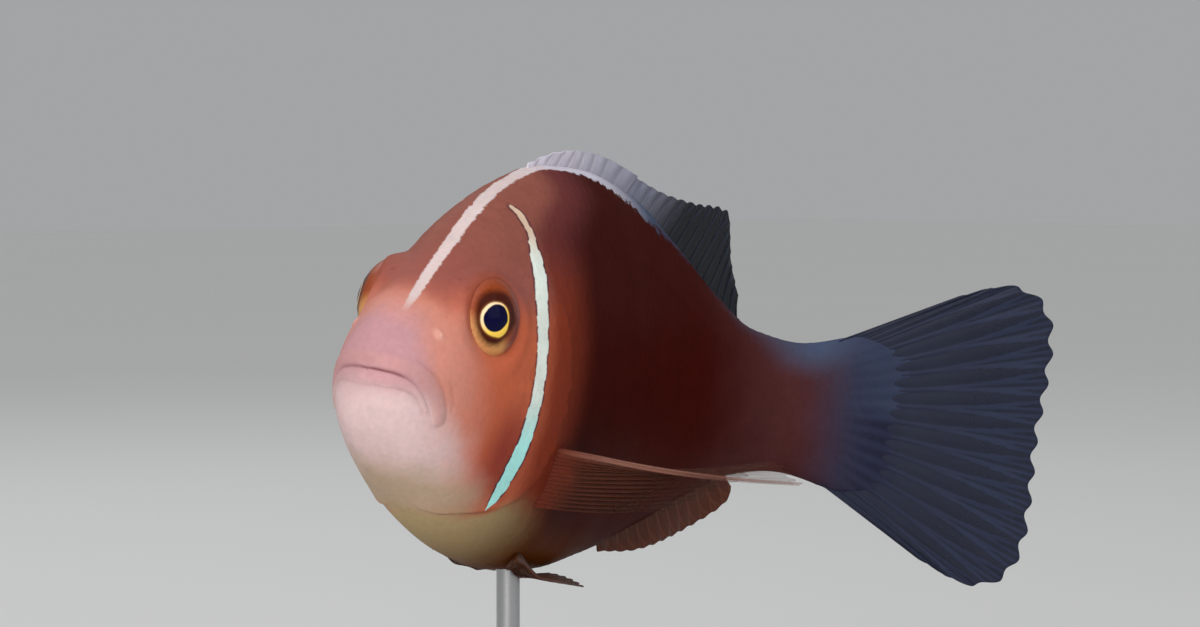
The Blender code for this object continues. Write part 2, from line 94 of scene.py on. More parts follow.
# Lines on the left of the head, as (distance, height); a height past the outline is on the middle line
# of the face.  The first few pores get painted shade in their pits
PAST_TOP = 1.0
PAST_BOTTOM = -1.0
MOUTH_SLIT = ((0.0, 0.0), (0.0022, -0.0003), (0.0126, -0.0029), (0.0253, -0.0105),
              (0.0422, -0.0292), (0.0554, -0.0474))
UPPER_LIP = ((0.0012, PAST_TOP), (0.0035, 0.0095), (0.0165, 0.006), (0.029, -0.0005),
             (0.049, -0.020), (0.0617, -0.041))
LIP_GROOVE = ((0.0042, PAST_TOP), (0.0122, 0.0174), (0.0208, 0.0153), (0.0325, 0.0094),
              (0.0470, -0.0007), (0.0563, -0.0116), (0.0640, -0.0263), (0.0679, -0.0391),
              (0.0655, -0.0478), (0.0588, -0.0500))
CHEEK_CREASE = ((0.0610, 0.0026), (0.0683, -0.0098), (0.0735, -0.0215), (0.0741, -0.0330))
LOWER_LIP = ((0.0007, PAST_BOTTOM), (0.0040, -0.0095), (0.0140, -0.0105), (0.0268, -0.0175),
             (0.0420, -0.0340))
CHIN_CREASE = ((0.0033, PAST_BOTTOM), (0.0155, -0.0175), (0.0283, -0.0245), (0.0400, -0.0380))
NOSTRIL = (0.0557, 0.0411)
PORES = ((0.1112, 0.0986), (0.1099, 0.0900), (0.084, 0.026), (0.098, 0.010), (0.117, -0.002),
         (0.140, -0.007), (0.163, -0.002), (0.075, 0.060))
SHADED_PORES = 2
CHEEK_EDGE = ((0.197, 0.060), (0.206, 0.020), (0.207, -0.020), (0.200, -0.058), (0.184, -0.092),
              (0.152, -0.112))
GILL_EDGE = ((0.120, PAST_BOTTOM), (0.149, -0.1404), (0.177, -0.1383), (0.2157, -0.1343),
             (0.255, -0.122), (0.284, -0.095), (0.299, -0.055), (0.304, -0.010), (0.299, 0.035),
             (0.284, 0.075), (0.264, 0.100))
LATERAL_LINE = ((0.285, 0.110), (0.33, 0.135), (0.42, 0.153), (0.52, 0.152), (0.62, 0.130),
                (0.71, 0.095), (0.78, 0.068))

# Eye: centre, half sizes and turn of the ball, and how far the right one is off the left
# one's mirror place
EYE_CENTRE = (0.1475, 0.0490, 0.0640)
RIGHT_EYE_SHIFT = (0.0, 0.0025, 0.0040)
EYE_HALF_BREADTH = 0.0460
EYE_HALF_DEPTH = 0.0340
EYE_TURN_FORWARD = 22.0
EYE_TURN_UP = 10.0


def tone(red, green, blue):
    """A display colour in steps of 0 to 255, as the linear value that shaders take."""
    share = np.array([red, green, blue]) / 255.0
    linear = np.where(share <= 0.04045, share / 12.92, ((share + 0.055) / 1.055) ** 2.4)
    return tuple(float(part) for part in linear)


def colour(name, description, shade):
    """A colour that the panel's groups hold."""
    return bpy.props.FloatVectorProperty(name=name, description=description, default=shade,
                                         size=3, min=0.0, max=1.0, subtype="COLOR")


def length(name, description, default):
    """A length in metres that the panel's groups hold."""
    return bpy.props.FloatProperty(name=name, description=description, default=default,
                                   min=0.0, precision=5, unit="LENGTH")


def share(name, description, default):
    """A share from 0 to 1 that the panel's groups hold."""
    return bpy.props.FloatProperty(name=name, description=description, default=default,
                                   min=0.0, max=1.0, subtype="FACTOR")


class FishColours(bpy.types.PropertyGroup):
    """Colours of the skin, which the scales share."""
    snout: colour("Snout", "Tip of the snout", tone(186, 140, 146))
    face: colour("Face", "Sides of the snout", tone(204, 136, 120))
    lips: colour("Lips", "Both lips and the strap at the mouth's corner", tone(192, 142, 139))
    chin: colour("Chin", "Pale chin under the mouth", tone(224, 196, 196))
    jaw: colour("Jaw", "Under the chin", tone(194, 170, 146))
    brow: colour("Brow", "Between the stripe and the eye", tone(148, 84, 75))
    cheek: colour("Cheek", "Behind and under the eye", tone(190, 97, 68))
    low_cheek: colour("Low cheek", "In front of the bar's lower half", tone(134, 52, 44))
    nape: colour("Nape", "Top of the head beside the stripe", tone(138, 80, 69))
    # Shoulder, shoulder top and the trunk's middle grow darker towards the rear: partly the fish's own
    # colour, partly painted shade where the light falls off
    shoulder: colour("Shoulder", "Just behind the bar", tone(128, 52, 34))
    shoulder_top: colour("Shoulder's top", "Behind the bar, near the back", tone(102, 49, 48))
    flank_and_shade: colour("Flank", "Middle of the trunk", tone(58, 13, 7))
    breast: colour("Breast", "Under the throat", tone(186, 164, 122))
    # The belly is partly its own colour, partly painted shade under the trunk
    belly: colour("Belly", "Under the trunk", tone(82, 38, 6))
    stalk: colour("Tail stalk", "Side of the tail stalk", tone(74, 38, 38))
    stalk_top: colour("Stalk top", "Ridge of the tail stalk", tone(66, 78, 102))
    lobe: colour("Tail lobe", "Last of the skin, on the tail fin", tone(36, 40, 59))
    stalk_end: colour("Stalk end", "Where the stalk runs into the tail fin", tone(50, 50, 70))
    stripe: colour("Back stripe", "Stripe from the forehead along the back", tone(210, 190, 188))
    crest: colour("Crest", "Pale ridge under the dorsal fin", tone(206, 200, 212))
    bar_top: colour("Bar top", "Upper end of the white bar", tone(214, 184, 160))
    bar_middle: colour("Bar middle", "Middle of the white bar", tone(232, 238, 228))
    bar_low: colour("Bar low", "Lower part of the white bar", tone(180, 246, 240))
    outline: colour("Outline", "Thin dark line round the bar", tone(46, 26, 52))
    # Painted shade for the mouth's slit, the grooves by lips, cheek and chin, the gill cover's edge
    # and the first pores
    lip_shadow: colour("Lip shadow", "In the mouth's slit", tone(112, 56, 56))
    over_eye: colour("Over the eye", "Upper rim of the eye and the skin by it", tone(142, 62, 26))
    under_eye: colour("Under the eye", "Lower front rim of the eye", tone(206, 150, 90))
    nostril: colour("Nostril", "Pale spot round each nostril", tone(240, 184, 170))


class FishShape(bpy.types.PropertyGroup):
    """Sizes of the skin's relief and of the scales."""
    lip_height: length("Lip height", "How far the lips stand out", 0.00014)
    slit_depth: length("Slit depth", "Depth of the mouth's slit", 0.00019)
    groove_depth: length("Groove depth", "Depth of the groove outside the lip", 0.00007)
    gill_step: length("Gill step", "Height of the gill cover's free edge", 0.00022)
    nostril_height: length("Nostril height", "How far a nostril's rim stands out", 0.00016)
    scale_spacing: length("Scale spacing", "Distance between rows of scales", 0.00136)
    head_scale_spacing: length("Head scale spacing", "The same on nape and cheek", 0.00098)
    scale_lift: length("Scale lift", "Height of a scale's free edge", 0.00005)
    skin_depth: length("Skin depth", "How far the skin lies under the scales", 0.00004)
    sheen: share("Wet look", "Strength of the clear coat", 0.02)


class FinLook(bpy.types.PropertyGroup):
    """Sizes and colours of the fins."""
    membrane: length("Membrane", "Thickness of the fins between rays", 0.00013)
    ray_width: length("Ray", "Thickness of a ray at its root", 0.00046)
    pale_spine: colour("Spine", "Spines of the front dorsal fin", tone(222, 216, 224))
    pale_web: colour("Crest web", "Web of the front dorsal fin", tone(206, 200, 214))
    fade: colour("Crest rear", "Where the front dorsal fin meets the soft one", tone(128, 130, 148))
    blue_ray: colour("Blue ray", "Soft rays of the dorsal fin", tone(32, 37, 48))
    blue_web: colour("Blue web", "Web of the soft dorsal fin", tone(18, 22, 29))
    dusk_ray: colour("Dusk ray", "Rays of the tail fin", tone(40, 46, 68))
    dusk_web: colour("Dusk web", "Web of the tail fin", tone(29, 34, 50))
    rose_ray: colour("Rose ray", "Rays of the pectoral fins", tone(80, 39, 25))
    rose_web: colour("Rose web", "Web of the pectoral fins", tone(60, 27, 15))
    # Partly painted shade: darkened against the lamp's light on the raised root, to sit in with the
    # shaded trunk
    rose_root: colour("Rose root", "Where the pectoral fins leave the body", tone(112, 46, 30))
    rose_lead: colour("Rose edge", "First rays of the pectoral fins", tone(152, 105, 91))
    sand_ray: colour("Sand ray", "Rays of the pelvic and anal fins", tone(90, 50, 37))
    sand_web: colour("Sand web", "Web of the pelvic and anal fins", tone(78, 40, 26))


class EyeLook(bpy.types.PropertyGroup):
    """Colours of the eyes."""
    pupil: colour("Pupil", "Depth of the pupil", tone(6, 4, 46))
    gold: colour("Gold", "Ring round the pupil, below and behind", tone(246, 204, 84))
    # Painted highlight: the same ring made paler above and before, where the lamp's light falls
    pale_gold: colour("Pale gold", "The same ring above and before", tone(252, 222, 178))
    amber: colour("Amber", "Soft outer edge of the ring", tone(150, 92, 40))
    bronze: colour("Bronze", "Dark iris round the ring", tone(66, 21, 9))
    mauve: colour("Mauve", "Rear side of the eye, outside the iris", tone(124, 62, 54))
    # Painted highlight: the light caught along the eye's bulging front edge
    arc: colour("Pale arc", "Thin arc behind the iris", tone(200, 130, 110))


class StandLook(bpy.types.PropertyGroup):
    """Colours of the stand."""
    wood: colour("Wood", "Lighter grain of the base", tone(120, 74, 46))
    dark_wood: colour("Dark wood", "Darker grain of the base", tone(70, 38, 24))
    steel: colour("Steel", "Brushed rod", tone(178, 178, 180))


class StageLook(bpy.types.PropertyGroup):
    """Floor, light and camera."""
    floor: colour("Floor", "Plain pale floor", tone(214, 214, 212))
    sky: colour("Surroundings", "Even light from all round", tone(222, 224, 226))
    sky_strength: bpy.props.FloatProperty(
        name="Surroundings strength", description="Strength of the even light", default=0.50)
    key: bpy.props.FloatProperty(
        name="Key light", description="Power of the large lamp by the camera, in watts",
        default=1.35, subtype="POWER")
    fill: bpy.props.FloatProperty(
        name="Fill light", description="Power of the lamp on the other side, in watts",
        default=0.4, subtype="POWER")
    rim: bpy.props.FloatProperty(
        name="Rim light", description="Power of the lamp behind, in watts",
        default=0.5, subtype="POWER")
    high: bpy.props.FloatProperty(
        name="High light", description="Strength of the wide light from above, in watts per "
        "square metre", default=0.6)
    lens: bpy.props.FloatProperty(
        name="Lens", description="Focal length of the camera", default=85.0, unit="CAMERA")


# ---------------------------------------------------------------- shape of the body

def metres(part):
    """Fractions of the standard length as metres."""
    return np.asarray(part, dtype=float) * STANDARD_LENGTH


def fraction(metre):
    """Metres as a fraction of the standard length."""
    return metre / STANDARD_LENGTH


def ease(value):
    """0 below 0, 1 above 1, and 3t^2 - 2t^3 between."""
    t = np.clip(value, 0.0, 1.0)
    return t * t * (3.0 - 2.0 * t)


def smooth_profile(points):
    """A curve through the points with no overshoot: cubic pieces over the root of the
    distance, so that it leaves the snout square on and the nose is round."""
    data = np.array(points)
    root = np.sqrt(data[:, 0])
    value = data[:, 1]
    step = np.diff(root)
    rise = np.diff(value) / step
    slope = np.zeros(len(root))
    same_way = rise[:-1] * rise[1:] > 0.0
    weight_a = 2.0 * step[1:] + step[:-1]
    weight_b = step[1:] + 2.0 * step[:-1]
    safe_a = np.where(same_way, rise[:-1], 1.0)
    safe_b = np.where(same_way, rise[1:], 1.0)
    mean = (weight_a + weight_b) / (weight_a / safe_a + weight_b / safe_b)
    slope[1:-1] = np.where(same_way, mean, 0.0)
    slope[0] = rise[0]
    slope[-1] = rise[-1]

    def curve(distance):
        """The profile at each distance."""
        at = np.sqrt(np.clip(distance, 0.0, 1.0))
        i = np.clip(np.searchsorted(root, at) - 1, 0, len(step) - 1)
        h = step[i]
        t = (at - root[i]) / h
        start = value[i] * (1.0 + 2.0 * t) * (1.0 - t) ** 2 + h * slope[i] * t * (1.0 - t) ** 2
        end = value[i + 1] * t * t * (3.0 - 2.0 * t) + h * slope[i + 1] * t * t * (t - 1.0)
        return start + end

    return curve


back = smooth_profile(BACK)
belly = smooth_profile(BELLY)
half_width = smooth_profile(HALF_WIDTH)
widest_height = smooth_profile(WIDEST_HEIGHT)
upper_roundness = smooth_profile(UPPER_ROUNDNESS)
lower_roundness = smooth_profile(LOWER_ROUNDNESS)


def body_point(distance, angle):
    """Straight body: angle 0 is the ridge of the back, a quarter turn is the fish's left
    side, half a turn the belly.  The section is a superellipse with its own roundness
    above and below its widest height."""
    sine = np.sin(angle)
    cosine = np.cos(angle)
    upper = cosine >= 0.0
    power = 2.0 / np.where(upper, upper_roundness(distance), lower_roundness(distance))
    middle = widest_height(distance)
    reach = np.where(upper, back(distance) - middle, middle - belly(distance))
    y = -half_width(distance) * np.sign(sine) * np.abs(sine) ** power
    z = middle + reach * np.sign(cosine) * np.abs(cosine) ** power
    return np.stack([distance + 0.0 * angle, y, z], axis=-1)


def side_reach(distance, height):
    """Half width of the body at a height: the section's superellipse, turned round."""
    middle = widest_height(distance)
    upper = height >= middle
    power = np.where(upper, upper_roundness(distance), lower_roundness(distance))
    reach = np.where(upper, back(distance) - middle, middle - belly(distance))
    part = np.clip(np.abs(height - middle) / np.maximum(reach, 1e-9), 0.0, 1.0)
    return half_width(distance) * (1.0 - part ** power) ** (1.0 / power)


def bend(points):
    """Carries straight points onto the curved spine: the heading turns by two eased
    bends, and the spine is the running sum of its heading."""
    along = np.linspace(0.0, SPINE_END, SPINE_POINTS)
    turn = math.radians(TRUNK_BEND) * ease((along - TRUNK_BEND_SPAN[0]) / TRUNK_BEND_SPAN[1])
    turn += math.radians(STALK_BEND) * ease((along - STALK_BEND_SPAN[0]) / STALK_BEND_SPAN[1])
    step = along[1] - along[0]
    spine_x = np.concatenate([[0.0], np.cumsum(np.cos(turn[:-1])) * step])
    spine_y = np.concatenate([[0.0], np.cumsum(-np.sin(turn[:-1])) * step])
    s = points[..., 0]
    heading = np.interp(s, along, turn)
    x = np.interp(s, along, spine_x) + points[..., 1] * np.sin(heading)
    y = np.interp(s, along, spine_y) + points[..., 1] * np.cos(heading)
    return np.stack([x, y, points[..., 2]], axis=-1)


def turned(bank, nose_up, yaw):
    """Rotation matrix of turns in degrees about x, then y, then z."""
    angles = (math.radians(bank), math.radians(nose_up), math.radians(yaw))
    return np.array(Euler(angles).to_matrix())


def held_point():
    """The place on the belly of the straight body where the rod holds it."""
    return body_point(np.float64(ROD_STATION), np.float64(math.pi))


def stand_up(points):
    """Fractions to metres in the row frame: turned, and lifted so that the belly over the
    rod stands above the origin and the snout is at its height."""
    turn = turned(BANK_LEFT, NOSE_UP, YAW)
    held = turn @ metres(bend(held_point()))
    lift = np.array([-held[0], -held[1], SNOUT_HEIGHT])
    return metres(points) @ turn.T + lift


def place(points):
    """The same for the straight body, whose points are carried onto the bent spine first."""
    return stand_up(bend(points))


# ---------------------------------------------------------------- curves and distances

def smooth_line(points, per_span=8):
    """Points on a smooth curve through the given ones: cubic pieces whose tangents are
    half the step from the point before to the point after."""
    data = np.array(points, dtype=float)
    tangent = np.gradient(data, axis=0)
    fine = np.linspace(0.0, len(data) - 1.0, per_span * (len(data) - 1) + 1)
    i = np.minimum(fine.astype(int), len(data) - 2)
    t = (fine - i)[:, None]
    return (data[i] * (1.0 + 2.0 * t) * (1.0 - t) ** 2 + tangent[i] * t * (1.0 - t) ** 2
            + data[i + 1] * t * t * (3.0 - 2.0 * t) + tangent[i + 1] * t * t * (t - 1.0))


def even_line(points, number):
    """The same curve, cut into even steps of its own length."""
    curve = smooth_line(points, 40)
    travelled = np.concatenate([[0.0], np.cumsum(np.linalg.norm(np.diff(curve, axis=0), axis=1))])
    at = np.linspace(0.0, travelled[-1], number)
    return np.stack([np.interp(at, travelled, column) for column in curve.T], axis=1)


def side_line(stops):
    """A line on the side of the straight body through (distance, height) stops, with its
    width outward taken from the body's section."""
    at = np.array(stops)
    height = np.clip(at[:, 1], belly(at[:, 0]), back(at[:, 0]))
    return smooth_line(np.stack([at[:, 0], side_reach(at[:, 0], height), height], axis=1))


def side_spot(distance, height, standoff=0.0):
    """A point on the side of the straight body, or standing off it."""
    reach = side_reach(np.float64(distance), np.float64(height))
    return np.array([distance, reach + standoff, height])


def near_line(points, line):
    """Distance from each point to a line of short spans, the share of the line reached
    there, and on which side: above 0 to the right when looking along it from outside."""
    best = np.full(points.shape[:-1], 1e9)
    reached = np.zeros(points.shape[:-1])
    side = np.zeros(points.shape[:-1])
    for i in range(len(line) - 1):
        span = line[i + 1] - line[i]
        offset = points - line[i]
        along = np.clip(offset @ span / max(span @ span, 1e-12), 0.0, 1.0)
        gap = np.linalg.norm(offset - along[..., None] * span, axis=-1)
        nearer = gap < best
        best = np.where(nearer, gap, best)
        reached = np.where(nearer, (i + along) / (len(line) - 1), reached)
        cross = offset[..., 2] * span[0] - offset[..., 0] * span[2]
        side = np.where(nearer, np.sign(cross), side)
    return best, reached, side


def eye_turn():
    """How the eye's own axes stand in the straight fish, seen on its mirrored right side:
    out of the socket is y."""
    return turned(EYE_TURN_UP, 0.0, EYE_TURN_FORWARD)


# ---------------------------------------------------------------- relief of the skin

def cushion(gap, half):
    """1 on a line, with a round shoulder down to 0 at half from it."""
    return (1.0 - np.clip(gap / half, 0.0, 1.0) ** 2) ** 0.8


def notch(gap, width):
    """A bell curve: 1 on a line, about a third at width from it."""
    return np.exp(-(gap / width) ** 2)


def ledge(gap, side, edge, reach):
    """1 just inside a free edge, fading over reach on that side, and 0 past the edge."""
    return ease(0.5 + 0.5 * side * gap / edge) * np.exp(-gap / reach)


def raise_lips(mirrored, shape, height):
    """Cushions along both lips.  Gives how far on a lip each point is."""
    lip = fraction(shape.lip_height)
    gap, along, _ = near_line(mirrored, side_line(UPPER_LIP))
    half = np.interp(along, (0.0, 0.2, 0.5, 0.8, 1.0), (0.0090, 0.0095, 0.0108, 0.0116, 0.0092))
    upper = cushion(gap, half)
    gap, along, _ = near_line(mirrored, side_line(LOWER_LIP))
    half = np.interp(along, (0.0, 0.5, 1.0), (0.0085, 0.0064, 0.0030))
    lower = cushion(gap, half)
    height += lip * upper + 0.7 * lip * lower
    return np.maximum(upper, 0.25 * lower)


def press_creases(mirrored, shape, height, crease):
    """Bell-shaped grooves: the mouth's slit, which grows fainter towards its corner, then those
    outside the lip, on the cheek and under the chin, which rise from their start.  Each also gets
    painted shade along its line."""
    gap, along, _ = near_line(mirrored, side_line(MOUTH_SLIT))
    fade = np.interp(along, (0.0, 0.1, 0.36, 0.55, 0.8, 1.0), (0.6, 0.7, 0.75, 0.45, 0.22, 0.1))
    height -= fraction(shape.slit_depth) * fade * notch(gap, 0.0017)
    # Painted shade along the slit, darkest at its front and fading towards the corner
    dark = np.interp(along, (0.0, 0.1, 0.36, 0.5, 0.8, 1.0), (0.7, 0.8, 0.75, 0.25, 0.08, 0.03))
    np.maximum(crease, dark * notch(gap, 0.0011), out=crease)

    groove = fraction(shape.groove_depth)
    # Columns: line, depth, width, start, and the strength of the painted shade along it
    for line, depth, width, start, dark in (
            (LIP_GROOVE, 0.45, 0.0040, 0.15, 0.10), (CHEEK_CREASE, 0.5, 0.0030, 0.0, 0.14),
            (CHIN_CREASE, 0.5, 0.0030, 0.0, 0.10)):
        gap, along, _ = near_line(mirrored, side_line(line))
        rising = ease((along - start) / 0.3)
        height -= groove * depth * rising * notch(gap, width)
        np.maximum(crease, dark * rising * notch(gap, 0.6 * width), out=crease)


def raise_covers(mirrored, shape, height, crease):
    """Ledges at the free edges of the gill cover and, lower, of the cheek, with painted shade along
    the gill cover's edge.
    """
    step = fraction(shape.gill_step)
    gap, along, side = near_line(mirrored, side_line(GILL_EDGE))
    fade = ease(along / 0.2)
    height += step * fade * ledge(gap, side, 0.0016, 0.030)
    # Painted shade along the gill cover's free edge
    np.maximum(crease, 0.30 * fade * notch(gap, 0.0018), out=crease)
    gap, along, side = near_line(mirrored, side_line(CHEEK_EDGE))
    height += 0.3 * step * ledge(gap, side, 0.0030, 0.020) * np.sin(math.pi * along)


def press_spots(mirrored, shape, height, crease):
    """Bell-shaped bumps and pits: the nostril's rim and its hole, and the pores, the first of which
    get painted shade in their pits.
    """
    for spot, rise, breadth in (
            [(NOSTRIL, fraction(shape.nostril_height), 0.0052), (NOSTRIL, -0.0022, 0.0014)]
            + [(pore, -0.0012, 0.0014) for pore in PORES]):
        gap = np.linalg.norm(mirrored - side_spot(*spot), axis=-1)
        height += rise * notch(gap, breadth)
    # Painted shade in the pits of the first pores
    for spot in PORES[:SHADED_PORES]:
        gap = np.linalg.norm(mirrored - side_spot(*spot), axis=-1)
        np.maximum(crease, 0.5 * notch(gap, 0.0016), out=crease)


def skin_relief(mirrored, shape):
    """Height of the skin over the plain body, how much painted shade each point takes in the slit,
    grooves and pits, and how far on a lip."""
    height = np.zeros(mirrored.shape[:-1])
    crease = np.zeros(mirrored.shape[:-1])
    lips = raise_lips(mirrored, shape, height)
    press_creases(mirrored, shape, height, crease)
    raise_covers(mirrored, shape, height, crease)
    press_spots(mirrored, shape, height, crease)
    return height, crease, lips


# Opening round the eye: its half length and half height, and its step back and up from the
# ball's middle
EYE_OPENING = (0.0395, 0.0395)
EYE_OPENING_SHIFT = (0.003, -0.001)


def eye_centre(side):
    """Centre of the left eye, or of the right one for a side above 0, mirrored or not."""
    return np.array(EYE_CENTRE) + (np.asarray(side) > 0.0)[..., None] * np.array(RIGHT_EYE_SHIFT)


def eye_opening(mirrored, side):
    """Round the eye the skin is drawn level with the ball, out to half as far again, less
    above it, and inside the opening it dives under the ball.  A low swelling runs round the
    opening."""
    turn = eye_turn()
    local = (mirrored - eye_centre(side)) @ turn
    x = local[..., 0] - EYE_OPENING_SHIFT[0]
    z = local[..., 2] - EYE_OPENING_SHIFT[1]
    ring = np.hypot(x / EYE_OPENING[0], z / EYE_OPENING[1])
    outer = np.maximum(ring, 1.0)
    rim_x = x / outer + EYE_OPENING_SHIFT[0]
    rim_z = z / outer + EYE_OPENING_SHIFT[1]
    lean = 1.0 - (rim_x ** 2 + rim_z ** 2) / EYE_HALF_BREADTH ** 2
    ball = EYE_HALF_DEPTH * np.sqrt(np.clip(lean, 0.0, 1.0))
    above = ease(z / np.maximum(ring * EYE_OPENING[1], 1e-9))
    hug = 1.0 - ease((ring - 1.0) / (0.70 - 0.28 * above))
    swell = ease((ring - 1.0) / 0.26) * (1.0 - ease((ring - 1.26) / 0.50))
    move = (ball - local[..., 1]) * hug + 0.0020 * swell * (1.0 - 0.6 * above)
    move -= 0.020 * ease((1.0 - ring) / 0.15)
    move *= ease((local[..., 1] + 0.014) / 0.012)
    return move[..., None] * turn[:, 1], ring


def eye_ball_point(direction):
    """The flattened ball: a unit direction in the eye's own axes, times its half sizes."""
    return direction * np.array([EYE_HALF_BREADTH, EYE_HALF_DEPTH, EYE_HALF_BREADTH])


# ---------------------------------------------------------------- meshes

def grid_quads(rows, columns, closed=False, first=0):
    """Quads of a grid of points numbered row by row, and the row and column of each corner;
    a closed grid joins its last column to its first."""
    row, column = np.meshgrid(np.arange(rows - 1), np.arange(columns - (not closed)), indexing="ij")
    corner_row = np.stack([row, row, row + 1, row + 1], axis=-1).reshape(-1, 4)
    corner_column = np.stack([column, column + 1, column + 1, column], axis=-1).reshape(-1, 4)
    quads = first + corner_row * columns + corner_column % columns
    return quads, np.stack([corner_row, corner_column], axis=-1)


def rim_numbers(rows, columns):
    """The numbers of a grid's border points, in order round it."""
    number = np.arange(rows * columns).reshape(rows, columns)
    return np.concatenate([number[0, :-1], number[:-1, -1], number[-1, :0:-1], number[:0:-1, 0]])


def globe_faces(rings, sides):
    """Faces of a closed shape whose points are a first pole, rings of so many sides and a
    last pole: the quads between rings and a fan of triangles at each pole.  Also gives the
    ring and side of each corner of the quads."""
    quads, places = grid_quads(rings, sides, closed=True, first=1)
    side = np.arange(sides)
    after = (side + 1) % sides
    last = 1 + (rings - 1) * sides
    start = np.stack([np.zeros_like(side), 1 + after, 1 + side], axis=1)
    close = np.stack([last + side, last + after, np.full_like(side, last + sides)], axis=1)
    return [quads, start, close], places


def facing_out(points, faces):
    """True if the faces' corners run so that their normals point out of the closed shape,
    by the sign of its volume as a sum of tetrahedra."""
    volume = 0.0
    for group in faces:
        for k in range(1, group.shape[1] - 1):
            a, b, c = points[group[:, 0]], points[group[:, k]], points[group[:, k + 1]]
            volume += np.einsum("ij,ij->", a - points.mean(axis=0), np.cross(b - a, c - a))
    return volume > 0.0


def add_piece(name, points, faces, material, corner_map=None, values=None):
    """A smooth mesh object from arrays.  faces is a list of index arrays, one array for each
    number of corners; corner_map gives their UV places alike, for the map OFBake; values are
    the attributes that the material reads, by name."""
    if not facing_out(points, faces):
        faces = [group[:, ::-1] for group in faces]
        if corner_map is not None:
            corner_map = [group[:, ::-1] for group in corner_map]
    sizes = np.concatenate([np.full(len(group), group.shape[1]) for group in faces])
    corners = np.concatenate([group.ravel() for group in faces])
    mesh = bpy.data.meshes.new(name)
    mesh.vertices.add(len(points))
    mesh.vertices.foreach_set("co", points.astype(np.float32).ravel())
    mesh.loops.add(len(corners))
    mesh.loops.foreach_set("vertex_index", corners.astype(np.int32))
    mesh.polygons.add(len(sizes))
    mesh.polygons.foreach_set("loop_start", (np.cumsum(sizes) - sizes).astype(np.int32))
    mesh.update(calc_edges=True)
    if mesh.validate():
        raise RuntimeError(name + " has bad faces")
    mesh.shade_smooth()
    if corner_map is not None:
        places = np.concatenate([group.reshape(-1, 2) for group in corner_map])
        layer = mesh.uv_layers.new(name="OFBake")
        layer.data.foreach_set("uv", places.astype(np.float32).ravel())
    for key, array in (values or {}).items():
        vector = np.ndim(array) == 2
        layer = mesh.attributes.new(key, "FLOAT_VECTOR" if vector else "FLOAT", "POINT")
        layer.data.foreach_set("vector" if vector else "value", array.astype(np.float32).ravel())
    mesh.materials.append(material)
    piece = bpy.data.objects.new(name, mesh)
    bpy.context.scene.collection.objects.link(piece)
    return piece


def dress(piece, slot, *nodes):
    """The piece rides on the fish's one body and stands for the nodes, whose solids it hides.  slot is
    not used.
    """
    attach(piece, "root")
    if nodes:
        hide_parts(*nodes)


def plate(front, rear):
    """Points and faces of a closed plate between two grids of the same size: both grids,
    front first, and a band round their rim."""
    rows, columns = front.shape[:2]
    size = rows * columns
    face, _ = grid_quads(rows, columns)
    rim = rim_numbers(rows, columns)
    after = np.roll(rim, -1)
    band = np.stack([after, rim, rim + size, after + size], axis=1)
    points = np.concatenate([front.reshape(-1, 3), rear.reshape(-1, 3)])
    return points, [face, face[:, ::-1] + size, band]


# ---------------------------------------------------------------- shader maths

class Value:
    """An output of a node.  Sums, differences, products, quotients and powers of it add the
    Math nodes that work them out."""

    def __init__(self, recipe, socket):
        self.recipe = recipe
        self.socket = socket

    def work(self, operation, first, second=0.0):
        return self.recipe.node("ShaderNodeMath", {"operation": operation}, {0: first, 1: second})

    def __add__(self, other):
        return self.work("ADD", self, other)

    def __radd__(self, other):
        return self.work("ADD", other, self)

    def __sub__(self, other):
        return self.work("SUBTRACT", self, other)

    def __rsub__(self, other):
        return self.work("SUBTRACT", other, self)

    def __mul__(self, other):
        return self.work("MULTIPLY", self, other)

    def __rmul__(self, other):
        return self.work("MULTIPLY", other, self)

    def __truediv__(self, other):
        return self.work("DIVIDE", self, other)

    def __rtruediv__(self, other):
        return self.work("DIVIDE", other, self)

    def __pow__(self, other):
        return self.work("POWER", self, other)

    def __abs__(self):
        return self.work("ABSOLUTE", self)

    def sine(self):
        return self.work("SINE", self)

    def cosine(self):
        return self.work("COSINE", self)

    def angle_over(self, other):
        """Angle in degrees of the place that is other along and this value up."""
        return self.work("ARCTAN2", self, other) * (180.0 / math.pi)

    def larger(self, other):
        return self.work("MAXIMUM", self, other)

    def smaller(self, other):
        return self.work("MINIMUM", self, other)


